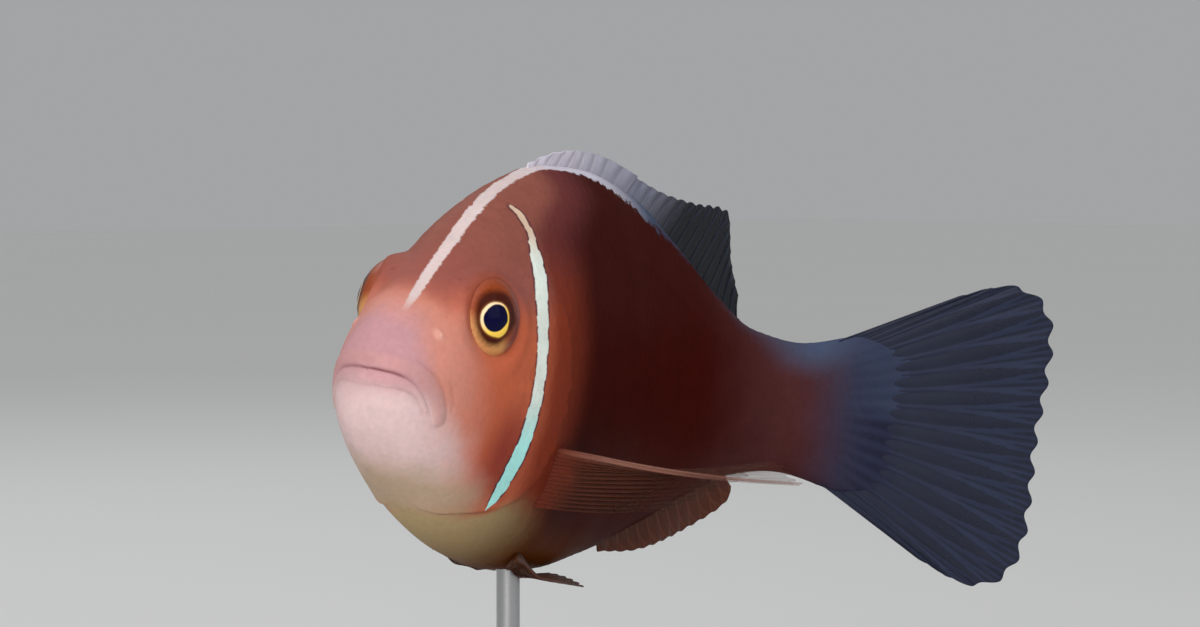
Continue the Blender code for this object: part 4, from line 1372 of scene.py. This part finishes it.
def eye_arrays(side, gaze):
    """A flattened ball as rings round the way it looks.  The pupil swells as a low dome and
    the ring round it stands a little proud."""
    gaze = np.array([gaze[0], 1.0, gaze[1]])
    gaze /= np.linalg.norm(gaze)
    up = np.array([0.0, 0.0, 1.0]) - gaze * gaze[2]
    up /= np.linalg.norm(up)
    rearward = np.cross(up, gaze) * -1.0
    part = np.arange(1, EYE_RINGS) / EYE_RINGS
    theta = (math.pi * (0.35 * part + 0.65 * part ** 2))[:, None]
    phi = np.linspace(0.0, 2.0 * math.pi, EYE_SIDES, endpoint=False)[None, :]
    direction = ((np.sin(theta) * np.cos(phi))[..., None] * rearward
                 + (np.sin(theta) * np.sin(phi))[..., None] * up
                 + (np.cos(theta) + 0.0 * phi)[..., None] * gaze)
    radius = EYE_HALF_BREADTH * np.sin(theta) + 0.0 * phi
    pupil = np.interp((np.degrees(phi) + 180.0) % 360.0 - 180.0, *np.array(PUPIL_EDGE).T)
    dome = 0.0010 * cushion(radius, pupil) + 0.0004 * notch(radius - pupil - 0.0025, 0.0020)
    dome = np.where(theta < 0.5 * math.pi, dome, 0.0)
    local = eye_ball_point(direction) + dome[..., None] * direction
    front = eye_ball_point(gaze[None]) + 0.0012 * gaze
    rear = eye_ball_point(-gaze[None])
    local = np.concatenate([front, local.reshape(-1, 3), rear])
    straight = local @ eye_turn().T + eye_centre(side)
    straight[:, 1] *= side
    spread = EYE_HALF_BREADTH * np.sin(theta)
    spread = np.where(theta < 0.5 * math.pi, spread, 2.0 * EYE_HALF_BREADTH - spread)
    gaze_place = np.stack([spread * np.cos(phi), spread * np.sin(phi), 0.0 * radius], axis=-1)
    gaze_place = np.concatenate([[[0.0, 0.0, 0.0]], gaze_place.reshape(-1, 3),
                                 [[2.0 * EYE_HALF_BREADTH, 0.0, 0.0]]])
    faces, _ = globe_faces(EYE_RINGS - 1, EYE_SIDES)
    return place(straight), faces, {"gaze": gaze_place, "socket": local}


def eye_material(look, colours):
    """A wet eye under a clear coat.  Three edges drawn round the pupil's middle part it into pupil,
    gold ring and dark iris; the gold ring is paler above and before, a painted highlight.  Outside
    them it is orange above, sand-coloured below and before, and mauve behind, where one thin paler arc
    runs along as a painted highlight."""
    recipe = Recipe("wet_eye", Coat_Weight=0.32, Coat_Roughness=0.05, Coat_IOR=1.22,
                    Specular_IOR_Level=0.05)
    whole, (x, z, _) = recipe.vector("gaze")
    _, (rearward, _, height) = recipe.vector("socket")
    radius = (x * x + z * z) ** 0.5
    around = z.angle_over(x)
    streaks = recipe.noise(whole, 260.0, 3.0) - 0.5
    loose = radius + streaks * 0.0016
    pupil = recipe.curve(around, PUPIL_EDGE)
    ring = recipe.curve(around, RING_EDGE)
    iris = recipe.curve(around, IRIS_EDGE)
    low = recipe.step(rearward * -0.46 - height * 0.89, 0.011, 0.029)
    base = recipe.mix(low, colours.over_eye, colours.under_eye)
    base = recipe.mix(recipe.step(rearward, 0.008, 0.026), base, look.mauve)
    # Painted highlight: a thin pale arc along the iris's edge, on the rear side
    arc = recipe.step(abs(loose - iris + 0.0010), 0.0013, 0.0003) * recipe.step(rearward, 0.010, 0.022)
    rim = recipe.mix(recipe.step(height, -0.010, 0.020), colours.cheek, colours.brow)
    rim = recipe.mix(recipe.step(rearward, 0.0, -0.025) * 0.4, rim, colours.face)
    out = ((rearward - 0.003) ** 2.0 + (height + 0.001) ** 2.0) ** 0.5
    cover = 0.25 + recipe.step(rearward, 0.0, 0.02) * 0.35
    base = recipe.mix(recipe.step(out, 0.0300, 0.0400) * cover, base, rim)
    base = recipe.shade(base, 1.0 + streaks * 0.5)
    base = recipe.mix(recipe.step(loose - iris, 0.0052, -0.0040), base, look.bronze)
    # The arc's painted highlight, laid over the upper part only
    base = recipe.mix(arc * recipe.step(height, -0.004, 0.010) * 0.35, base, look.arc)
    # The ring's paler upper front is a painted highlight
    gold = recipe.mix(recipe.step(z - x, -0.012, 0.016), look.gold, look.pale_gold)
    base = recipe.mix(recipe.step(radius - ring, 0.0030, 0.0) * 0.45, base, look.amber)
    base = recipe.mix(recipe.step(radius - ring, 0.0010, -0.0010), base, gold)
    inside = recipe.step(radius - pupil, 0.0009, -0.0006)
    base = recipe.mix(inside, base, look.pupil)
    return recipe.feed(Base_Color=base, Roughness=0.40 - inside * 0.2)


class CLOWNFISH_OT_eyes(bpy.types.Operator):
    """Both eyes, each a flattened ball with pupil, gold ring and iris"""
    bl_idname = "clownfish.eyes"
    bl_label = "Eyes"

    def execute(self, context):
        scene = context.scene
        material = eye_material(scene.eye_look, scene.fish_colours)
        for side, part in ((-1.0, "left"), (1.0, "right")):
            points, faces, values = eye_arrays(side, GAZE[part])
            ball = add_piece("eye_" + part + "_ball", points, faces, material, None, values)
            dress(ball, "eyes", "eye_" + part)
        return {"FINISHED"}


# ---------------------------------------------------------------- fins

# A fin's build: its rays, the rows of points outward, how deep its edge is cut between rays,
# how far out the rays fork, their thickness as a share of the look's, and what a side of the
# fleshy root adds to its thickness, in metres
FinBuild = namedtuple("FinBuild", "rays rows cut fork stout root_half")
SPINY = FinBuild(10, 26, 0.030, 1.0, 0.42, 0.00022)
SOFT = FinBuild(17, 44, 0.05, 0.50, 0.75, 0.00022)
ANAL = FinBuild(14, 40, 0.06, 0.50, 0.85, 0.00022)
TAIL = FinBuild(TAIL_RAYS, 64, 0.03, 0.38, 0.85, 0.00030)
PECTORAL = FinBuild(16, 56, 0.03, 0.45, 0.85, 0.00042)
PELVIC = FinBuild(6, 50, 0.06, 0.45, 1.0, 0.00040)
RAY_SPAN = 0.17
POINTS_PER_RAY = 14
MIDDLE_RIPPLE = 0.0035


def ray_bump(across, outward, rays, fork):
    """Height of the rays' ridges, 0 to 1: each ray is half a circle across a share of the
    space between rays.  Past fork it parts in two, and each branch parts again near the
    edge, with the branches spreading evenly."""
    nearest = across * (rays - 1)
    nearest = nearest - np.round(nearest)
    first = 0.25 * ease((outward - fork) / (1.02 - fork))
    second = 0.125 * ease((outward - 0.5 - 0.5 * fork) / (0.52 - 0.5 * fork))
    gap = np.abs(np.abs(np.abs(nearest) - first) - second)
    narrow = RAY_SPAN * (1.0 - 0.62 * outward)
    return np.sqrt(np.clip(1.0 - (gap / narrow) ** 2, 0.0, 1.0))


def fin_arrays(middle, across, outward, build, look):
    """A fin as a closed plate round its middle surface: its thickness is the web's or the
    rays', whichever is more, and the rays thin outward and have joints; a fleshy swelling is
    added at the root."""
    normal = np.cross(np.gradient(middle, axis=0), np.gradient(middle, axis=1))
    normal /= np.maximum(np.linalg.norm(normal, axis=2, keepdims=True), 1e-12)
    bump = ray_bump(across, outward, build.rays, build.fork)
    at_joint = (build.fork < 1.0) * ease((outward - 0.3) / 0.2) * (np.sin(outward * 260.0) > 0.75)
    joints = 1.0 - 0.10 * at_joint
    ray = look.ray_width * build.stout * (1.0 - 0.62 * outward) * bump * joints
    root = build.root_half * (1.0 - ease(outward / 0.22)) ** 1.5
    half = (0.5 * np.maximum(look.membrane, ray) + root)[..., None]
    points, faces = plate(middle + normal * half, middle - normal * half)
    values = {"ray": np.tile(bump.ravel(), 2), "reach": np.tile(outward.ravel(), 2),
              "across": np.tile(across.ravel(), 2)}
    return points, faces, values


def add_fin(name, surface, build, look, material):
    """Thickens a fin's middle surface, and puts the fin in the place of its solid."""
    points, faces, values = fin_arrays(*surface, build, look)
    dress(add_piece(name + "_web", points, faces, material, None, values), "fins", name)


def fin_grid(build):
    """Share across the fin and share outward, for every point of its grid."""
    across = np.linspace(0.0, 1.0, (build.rays - 1) * POINTS_PER_RAY + 1)
    outward = np.linspace(0.0, 1.0, build.rows)
    return np.meshgrid(across, outward, indexing="ij")


def web_cut(across, build):
    """Share of the full reach: the edge draws in between the rays by a squared sine that is
    0 at each ray."""
    return 1.0 - build.cut * np.sin(math.pi * across * (build.rays - 1)) ** 2


def middle_fin(roots, tips, build):
    """Rays in the fish's middle plane from root to edge, with a slight ripple sideways
    that grows outward."""
    across, outward = fin_grid(build)
    number = across.shape[0]
    start = even_line(roots, number)[:, None, :]
    end = even_line(tips, number)[:, None, :]
    flat = start + (end - start) * (outward * web_cut(across, build))[..., None]
    wave = MIDDLE_RIPPLE * outward ** 2 * np.sin(across * 9.0 + outward * 2.0)
    wave += 0.35 * MIDDLE_RIPPLE * outward * np.cos(2.0 * math.pi * across * (build.rays - 1))
    points = np.stack([flat[..., 0], wave, flat[..., 1]], axis=-1)
    return place(points), across, outward


def outline_points(first, last, outline, sink):
    """Places along the ridge or the belly, sunk under the skin."""
    distance = np.linspace(first, last, 9)
    return np.stack([distance, outline(distance) - sink], axis=1)


# Middle fins: first and last distance of each root, edges as (distance, height), and how
# deep the roots lie under the skin
SPINY_ROOT = (0.325, 0.579)
SOFT_ROOT = (0.580, 0.828)
ANAL_ROOT = (0.625, 0.838)
SPINY_EDGE = ((0.345, 0.236), (0.40, 0.254), (0.46, 0.263), (0.53, 0.264), (0.600, 0.2505))
SOFT_EDGE = ((0.601, 0.250), (0.66, 0.237), (0.72, 0.233), (0.765, 0.235), (0.788, 0.230),
             (0.796, 0.205), (0.802, 0.170), (0.820, 0.128))
ANAL_EDGE = ((0.640, -0.193), (0.70, -0.189), (0.77, -0.170), (0.82, -0.147), (0.852, -0.122),
             (0.856, -0.102))
TAIL_EDGE = ((1.243, 0.0), (1.246, 0.070), (1.244, 0.135), (1.225, 0.176), (1.180, 0.190),
             (1.115, 0.166))
SINK = 0.010


def tail_lines():
    """Root and edge of the tail fin, lower half first: the upper half is its mirror."""
    centre = 0.5 * (back(STALK_END) + belly(STALK_END))
    half = 0.5 * (back(STALK_END) - belly(STALK_END)) - 0.006
    root = np.array([(STALK_END - SINK, centre - half), (STALK_END - SINK, centre + half)])
    upper = np.array(TAIL_EDGE)
    edge = np.concatenate([upper[:0:-1] * (1.0, -1.0), upper]) + (0.0, centre)
    return root, edge


def side_fin(side, top, bottom, fan, inner, flare, build):
    """A paired fin: roots on a line, each ray going the way and the length that fan gives
    for its share across, bowing back and up.  inner is the step into the body from which
    the fleshy base rises, over the share flare of the rays.  Paired fins stand off the
    straight spine, as their solids do."""
    across, outward = fin_grid(build)
    roots = np.array(top) + across[..., None] * (np.array(bottom) - top)
    sweep, rise, far, lift = fan(across)
    way = np.stack([np.sin(sweep) * np.cos(rise), np.cos(sweep) * np.cos(rise), np.sin(rise)],
                   axis=-1)
    far = far * web_cut(across, build)
    points = roots + way * (far * outward)[..., None]
    points[..., 0] += 0.10 * far * outward ** 2
    points[..., 2] += lift * far * outward ** 2
    points += np.array(inner) * (1.0 - ease(outward / flare))[..., None]
    points[..., 1] += 0.0016 * outward * np.cos(2.0 * math.pi * across * (build.rays - 1))
    points[..., 1] *= side
    return stand_up(points), across, outward


def pectoral_fan(sweep_top, sweep_bottom, rise_top, rise_bottom, wave, lift):
    """Fan of a pectoral fin: the longest rays are near the top, the lowest are short, and
    the first is cut back a little so that the tip is round.  A waving fin has its first
    rays lower than the next ones, by wave degrees."""
    def fan(part):
        """Sweep back and rise of each ray, its length, and how it bows up."""
        sweep = np.radians(sweep_top + (sweep_bottom - sweep_top) * part ** 1.2)
        rise = np.radians(rise_top + (rise_bottom - rise_top) * part + wave * ease(part / 0.4))
        far = (0.165 + 0.090 * (1.0 - part) ** 0.9) * (1.0 - 0.04 * (1.0 - part) ** 9)
        return sweep, rise, far, lift
    return fan


def pelvic_fan(part):
    """Fan of a pelvic fin folded back under the belly, its outer ray the longest."""
    sweep = np.radians(88.0 + 3.0 * part)
    rise = np.radians(-7.0 + 7.0 * part)
    return sweep, rise, 0.190 - 0.060 * part ** 1.5, 0.0


def fin_material(name, colours, web_share, ray_share, root_reach, edge=None, inner=None):
    """Wet fin in the colours of its rays, its web and its root.  Rays and web each have their
    own share of opacity; the root's colour reaches so far out; fine grain is in the bump.
    edge is where across the fin another colour starts and is full, and that colour.  inner is
    how far out the fin is denser, how far out it is densest, and its share there."""
    recipe = Recipe(name, Coat_Weight=0.06, Coat_Roughness=0.25, Specular_IOR_Level=0.12)
    ray_colour, web_colour, root_colour = colours
    ray = recipe.attribute("ray")
    reach = recipe.attribute("reach")
    at = recipe.object_place()
    broad = recipe.noise(at, 420.0, 3.0) - 0.5
    fine = recipe.noise(at, 2600.0, 2.0) - 0.5
    base = recipe.mix(recipe.step(ray, 0.1, 0.8), web_colour, ray_colour)
    solid = web_share + recipe.step(ray, 0.0, 0.7) * (ray_share - web_share)
    if edge is not None:
        start, full, edge_colour = edge
        side = recipe.step(recipe.attribute("across") + broad * 0.06, start, full) * 0.85
        base = recipe.mix(side, base, edge_colour)
        solid = solid.larger(side * (0.15 + ray_share))
    base = recipe.mix(recipe.step(reach + broad * 0.15, root_reach, 0.02), base, root_colour)
    base = recipe.shade(base, 1.0 + broad * 0.30 + fine * 0.15)
    far, near, dense = inner or (min(0.5 * root_reach + 0.05, 0.2), 0.0, 0.3 + 0.7 * web_share)
    solid = solid.larger(recipe.step(reach, far, near) * dense)
    alpha = solid - recipe.step(reach, 0.75, 1.0) * 0.3 * solid * (1.0 - web_share)
    return recipe.feed(Base_Color=base, Alpha=alpha, Roughness=0.45 + fine * 0.15,
                       Normal=recipe.bump(fine, 0.00003, 0.5))


class CLOWNFISH_OT_middle_fins(bpy.types.Operator):
    """Dorsal, anal and tail fins"""
    bl_idname = "clownfish.middle_fins"
    bl_label = "Middle fins"

    def execute(self, context):
        look = context.scene.fin_look
        skin = context.scene.fish_colours
        crest = fin_material("crest_fin", (look.pale_spine, look.pale_web, skin.crest),
                             0.95, 1.0, 0.3, edge=(0.25, 1.0, look.fade))
        blue = fin_material("blue_fin", (look.blue_ray, look.blue_web, look.blue_web),
                            0.85, 1.0, 0.3, edge=(0.40, 0.0, look.fade))
        dusk = fin_material("dusk_fin", (look.dusk_ray, look.dusk_web, skin.lobe), 0.92, 1.0, 0.9)
        sand = fin_material("sand_fin", (look.sand_ray, look.sand_web, skin.stalk), 0.94, 1.0, 0.3)
        tail_root, tail_edge = tail_lines()
        for name, roots, tips, build, material in (
                ("dorsal_fin_spiny", outline_points(*SPINY_ROOT, back, SINK), SPINY_EDGE, SPINY,
                 crest),
                ("dorsal_fin_soft", outline_points(*SOFT_ROOT, back, SINK), SOFT_EDGE, SOFT, blue),
                ("anal_fin", outline_points(*ANAL_ROOT, belly, -SINK), ANAL_EDGE, ANAL, sand),
                ("tail_fin", tail_root, tail_edge, TAIL, dusk)):
            add_fin(name, middle_fin(roots, tips, build), build, look, material)
        return {"FINISHED"}


# Paired fins: where the first and last rays leave the body (distance and height, or a
# place), the step in to where the fleshy base starts, and the share that it rises over
PECTORAL_TOP = (0.318, -0.062)
PECTORAL_BOTTOM = (0.314, -0.128)
PECTORAL_INNER = (-0.006, -0.022, 0.0)
PECTORAL_FLARE = 0.16
PELVIC_TOP = (0.350, 0.048, -0.2055)
PELVIC_BOTTOM = (0.378, 0.026, -0.2170)
PELVIC_INNER = (0.0, 0.0, 0.016)
PELVIC_FLARE = 0.40


class CLOWNFISH_OT_side_fins(bpy.types.Operator):
    """Pectoral and pelvic fins"""
    bl_idname = "clownfish.side_fins"
    bl_label = "Side fins"

    def execute(self, context):
        look = context.scene.fin_look
        skin = context.scene.fish_colours
        # The pectoral root's colour is partly painted shade
        rose = fin_material("rose_fin", (look.rose_ray, look.rose_web, look.rose_root),
                            0.15, 0.30, 0.16, edge=(0.14, 0.02, look.rose_lead),
                            inner=(0.85, 0.35, 0.85))
        # The pelvic fins' roots take the belly's colour, painted shade included
        sand = fin_material("pelvic_fin", (look.sand_ray, look.sand_web, skin.belly), 0.80, 1.0, 0.3)
        forward = pectoral_fan(23.0, 58.0, -6.0, -16.0, 14.0, 0.10)
        folded = pectoral_fan(68.0, 74.0, 10.0, -22.0, 0.0, 0.0)
        for part, side, standoff, fan in (("left", -1.0, 0.010, forward),
                                          ("right", 1.0, 0.013, folded)):
            top = side_spot(*PECTORAL_TOP, standoff)
            bottom = side_spot(*PECTORAL_BOTTOM, standoff)
            pectoral = side_fin(side, top, bottom, fan, PECTORAL_INNER, PECTORAL_FLARE, PECTORAL)
            add_fin("pectoral_fin_" + part, pectoral, PECTORAL, look, rose)
        for part, side in (("left", -1.0), ("right", 1.0)):
            pelvic = side_fin(side, PELVIC_TOP, PELVIC_BOTTOM, pelvic_fan, PELVIC_INNER,
                              PELVIC_FLARE, PELVIC)
            add_fin("pelvic_fin_" + part, pelvic, PELVIC, look, sand)
        return {"FINISHED"}


# ---------------------------------------------------------------- stand

BASE_CORNER = 0.006
BASE_BEVEL = 0.0008
ROD_RADIUS = 0.0010
COLLAR_RADIUS = 0.0030
COLLAR_HEIGHT = 0.0016
COLLAR_SHOULDER = 0.0005
COLLAR_FILLET = 0.0009
INTO_BELLY = 0.0002
STAND_SHARP = 40.0


def rounded_outline(half_length, half_width, corner, inset, per_corner=14):
    """A rectangle with round corners, drawn in by inset: quarter circles round four fixed
    centres, whose radius is the corner's less the inset."""
    quarter = np.linspace(0.0, 0.5 * math.pi, per_corner)
    rings = []
    for turn, (x, y) in enumerate(((1, 1), (-1, 1), (-1, -1), (1, -1))):
        angle = quarter + 0.5 * math.pi * turn
        centre = (x * (half_length - corner), y * (half_width - corner))
        rings.append(np.stack([centre[0] + (corner - inset) * np.cos(angle),
                               centre[1] + (corner - inset) * np.sin(angle)], axis=1))
    return np.concatenate(rings)


def capped_rings(rings):
    """Closed shape from a stack of equal rings: bands between them and a flat face at each
    end."""
    number, sides = rings.shape[:2]
    quads, _ = grid_quads(number, sides, closed=True)
    low = np.arange(sides)[None, ::-1]
    high = (number - 1) * sides + np.arange(sides)[None, :]
    return rings.reshape(-1, 3), [quads, np.concatenate([low, high])]


def base_rings():
    """Outlines of the base from its foot to its top: both edges are eased by a quarter
    circle."""
    low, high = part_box("stand_base")
    half_length = 0.5 * (high.x - low.x)
    half_width = 0.5 * (high.y - low.y)
    turn = np.linspace(0.0, 0.5 * math.pi, 6)
    inset = np.concatenate([BASE_BEVEL * (1.0 - np.sin(turn)), BASE_BEVEL * (1.0 - np.cos(turn))])
    level = np.concatenate([low.z + BASE_BEVEL * (1.0 - np.cos(turn)),
                            high.z - BASE_BEVEL * (1.0 - np.sin(turn))])
    rings = []
    for step, height in zip(inset, level):
        flat = rounded_outline(half_length, half_width, BASE_CORNER, step)
        rings.append(np.concatenate([flat, np.full((len(flat), 1), height)], axis=1))
    return np.array(rings)


def rod_rings(sides=48):
    """A turned rod: a collar with a rounded shoulder and a fillet, both quarter circles, then
    the straight rod up into the belly."""
    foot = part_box("stand_base")[1].z
    top = foot + COLLAR_HEIGHT
    end = place(held_point())[2] + INTO_BELLY
    turn = np.linspace(0.0, 0.5 * math.pi, 7)
    radius = np.concatenate([[COLLAR_RADIUS],
                             COLLAR_RADIUS - COLLAR_SHOULDER * (1.0 - np.cos(turn)),
                             ROD_RADIUS + COLLAR_FILLET * (1.0 - np.sin(turn)),
                             np.full(12, ROD_RADIUS)])
    height = np.concatenate([[foot],
                             top - COLLAR_SHOULDER * (1.0 - np.sin(turn)),
                             top + COLLAR_FILLET * (1.0 - np.cos(turn)),
                             np.linspace(top + 1.2 * COLLAR_FILLET, end, 12)])
    angle = np.linspace(0.0, 2.0 * math.pi, sides, endpoint=False)[None, :]
    return np.stack([radius[:, None] * np.cos(angle), radius[:, None] * np.sin(angle),
                     height[:, None] + 0.0 * angle], axis=-1)


def wood_material(look):
    """Polished wood: long wavering grain along the base, fine pores across it, a clear coat."""
    recipe = Recipe("polished_wood", Coat_Weight=0.5, Coat_Roughness=0.12)
    at = recipe.object_place()
    waver = recipe.noise(recipe.stretched(at, 18.0, 90.0, 90.0), 1.0, 3.0) - 0.5
    _, y, z = recipe.parts(at)
    rings = (y * 2600.0 + z * 1100.0 + waver * 24.0).sine()
    pores = recipe.noise(recipe.stretched(at, 300.0, 4200.0, 4200.0), 1.0, 2.0)
    cloud = recipe.noise(recipe.stretched(at, 40.0, 260.0, 260.0), 1.0, 2.0)
    grain = rings * 0.16 + (pores - 0.5) * 0.9 + cloud
    base = recipe.mix(grain, look.dark_wood, look.wood)
    base = recipe.shade(base, 0.9 + pores * 0.2)
    return recipe.feed(Base_Color=base, Roughness=0.36 + pores * 0.14,
                       Normal=recipe.bump(pores + grain * 0.3, 0.00004, 0.35))


def steel_material(look):
    """Brushed steel: fine rings of brushing round the rod in its roughness and bump."""
    recipe = Recipe("brushed_steel", Metallic=1.0)
    brushed = recipe.noise(recipe.stretched(recipe.object_place(), 400.0, 400.0, 9000.0), 1.0, 3.0)
    base = recipe.mix(brushed, tuple(0.86 * part for part in look.steel), look.steel)
    return recipe.feed(Base_Color=base, Roughness=0.24 + brushed * 0.14,
                       Normal=recipe.bump(brushed, 0.00001, 0.4))


class CLOWNFISH_OT_stand(bpy.types.Operator):
    """Wooden base and turned steel rod"""
    bl_idname = "clownfish.stand"
    bl_label = "Stand"

    def execute(self, context):
        look = context.scene.stand_look
        points, faces = capped_rings(base_rings())
        base = add_piece("stand_base_board", points, faces, wood_material(look))
        base.data.set_sharp_from_angle(angle=math.radians(STAND_SHARP))
        dress(base, "stand_wood", "stand_base")
        points, faces = capped_rings(rod_rings())
        rod = add_piece("stand_rod_turned", points, faces, steel_material(look))
        rod.data.set_sharp_from_angle(angle=math.radians(STAND_SHARP))
        dress(rod, "stand_metal", "stand_rod")
        return {"FINISHED"}


# ---------------------------------------------------------------- stage

CAMERA_PLACE = (-0.14828516, -0.18857308, 0.07098259)
CAMERA_AZIMUTH = -40.05
CAMERA_ELEVATION = 3.005
FLOOR_REACH = 2.5
FLOOR_DEPTH = 0.01

# Lamps: the look that holds the power, place, target, side in metres and colour
LAMPS = (("key", (-0.33, -0.27, 0.21), (-0.02, -0.015, 0.050), 0.26, (1.0, 0.97, 0.94)),
         ("fill", (0.20, -0.46, 0.26), (0.0, 0.0, 0.050), 0.40, (0.94, 0.97, 1.0)),
         ("rim", (0.10, 0.34, 0.40), (0.0, 0.0, 0.050), 0.34, (0.95, 0.98, 1.0)))
HIGH_LIGHT_SPREAD = 50.0
HIGH_LIGHT_TILT = (20.0, -15.0)


def floor_material(look):
    """Plain pale floor with a faint unevenness."""
    recipe = Recipe("pale_floor", Specular_IOR_Level=0.2)
    cloud = recipe.noise(recipe.object_place(), 6.0, 2.0) - 0.5
    base = recipe.shade(look.floor, 1.0 + cloud * 0.03)
    return recipe.feed(Base_Color=base, Roughness=0.75 + cloud * 0.1)


def add_floor(look):
    """A wide flat plate whose top lies at height 0."""
    across = np.linspace(-FLOOR_REACH, FLOOR_REACH, 9)
    x, y = np.meshgrid(across, across, indexing="ij")
    top = np.stack([x, y, 0.0 * x], axis=-1)
    points, faces = plate(top, top - (0.0, 0.0, FLOOR_DEPTH))
    floor = add_piece("floor", points, faces, floor_material(look))
    floor.data.shade_flat()


def add_lamp(name, at, target, size, power, shade):
    """A square soft lamp that faces its target."""
    light = bpy.data.lights.new(name, "AREA")
    light.size = size
    light.energy = power
    light.color = shade
    lamp = bpy.data.objects.new(name, light)
    bpy.context.scene.collection.objects.link(lamp)
    lamp.location = at
    way = np.array(target) - np.array(at)
    azimuth = math.atan2(way[0], -way[1])
    lamp.rotation_euler = (math.acos(float(-way[2] / np.linalg.norm(way))), 0.0, azimuth + math.pi)


def add_surroundings(look):
    """A wide light from above and even light from all round."""
    scene = bpy.context.scene
    high = bpy.data.objects.new("high_light", bpy.data.lights.new("high_light", "SUN"))
    high.data.energy = look.high
    high.data.angle = math.radians(HIGH_LIGHT_SPREAD)
    high.rotation_euler = (*(math.radians(tilt) for tilt in HIGH_LIGHT_TILT), 0.0)
    scene.collection.objects.link(high)
    scene.world = bpy.data.worlds.new("surroundings")
    scene.world.use_nodes = True
    sky = scene.world.node_tree.nodes["Background"]
    sky.inputs["Color"].default_value = (*look.sky, 1.0)
    sky.inputs["Strength"].default_value = look.sky_strength


def add_camera(look):
    """The camera, level with the head and turned to the fish's left side."""
    camera = bpy.data.cameras.new("camera")
    camera.lens = look.lens
    camera.clip_start = 0.01
    viewer = bpy.data.objects.new("camera", camera)
    bpy.context.scene.collection.objects.link(viewer)
    viewer.location = CAMERA_PLACE
    viewer.rotation_euler = (math.radians(90.0 - CAMERA_ELEVATION), 0.0,
                             math.radians(CAMERA_AZIMUTH))
    bpy.context.scene.camera = viewer


class CLOWNFISH_OT_stage(bpy.types.Operator):
    """Floor, soft lamps, surroundings and camera"""
    bl_idname = "clownfish.stage"
    bl_label = "Stage"

    def execute(self, context):
        look = context.scene.stage_look
        add_floor(look)
        for name, at, target, size, shade in LAMPS:
            add_lamp(name + "_lamp", at, target, size, getattr(look, name), shade)
        add_surroundings(look)
        context.scene.view_settings.view_transform = "Standard"
        add_camera(look)
        return {"FINISHED"}


# ---------------------------------------------------------------- panel

STEPS = (CLOWNFISH_OT_skin, CLOWNFISH_OT_scales, CLOWNFISH_OT_eyes, CLOWNFISH_OT_middle_fins,
         CLOWNFISH_OT_side_fins, CLOWNFISH_OT_stand, CLOWNFISH_OT_stage)
SETTINGS = {"fish_colours": FishColours, "fish_shape": FishShape, "fin_look": FinLook,
            "eye_look": EyeLook, "stand_look": StandLook, "stage_look": StageLook}


class CLOWNFISH_PT_steps(bpy.types.Panel):
    """Lists the pieces in the order in which they are made"""
    bl_idname = "CLOWNFISH_PT_steps"
    bl_label = "Clownfish"
    bl_space_type = "VIEW_3D"
    bl_region_type = "UI"
    bl_category = "Clownfish"

    def draw(self, context):
        for step in STEPS:
            self.layout.operator(step.bl_idname)


def register():
    """Adds the groups, then the settings that hold them, the operators and the panel."""
    for group in SETTINGS.values():
        bpy.utils.register_class(group)
    for name, group in SETTINGS.items():
        setattr(bpy.types.Scene, name, bpy.props.PointerProperty(type=group))
    for step in STEPS:
        bpy.utils.register_class(step)
    bpy.utils.register_class(CLOWNFISH_PT_steps)


def unregister():
    """Takes them away again, last first."""
    bpy.utils.unregister_class(CLOWNFISH_PT_steps)
    for step in reversed(STEPS):
        bpy.utils.unregister_class(step)
    for name, group in SETTINGS.items():
        delattr(bpy.types.Scene, name)
        bpy.utils.unregister_class(group)


def main():
    """Makes every piece in order."""
    register()
    bpy.ops.clownfish.skin()
    bpy.ops.clownfish.scales()
    bpy.ops.clownfish.eyes()
    bpy.ops.clownfish.middle_fins()
    bpy.ops.clownfish.side_fins()
    bpy.ops.clownfish.stand()
    bpy.ops.clownfish.stage()
    bpy.context.view_layer.update()


if __name__ == "__main__":
    main()
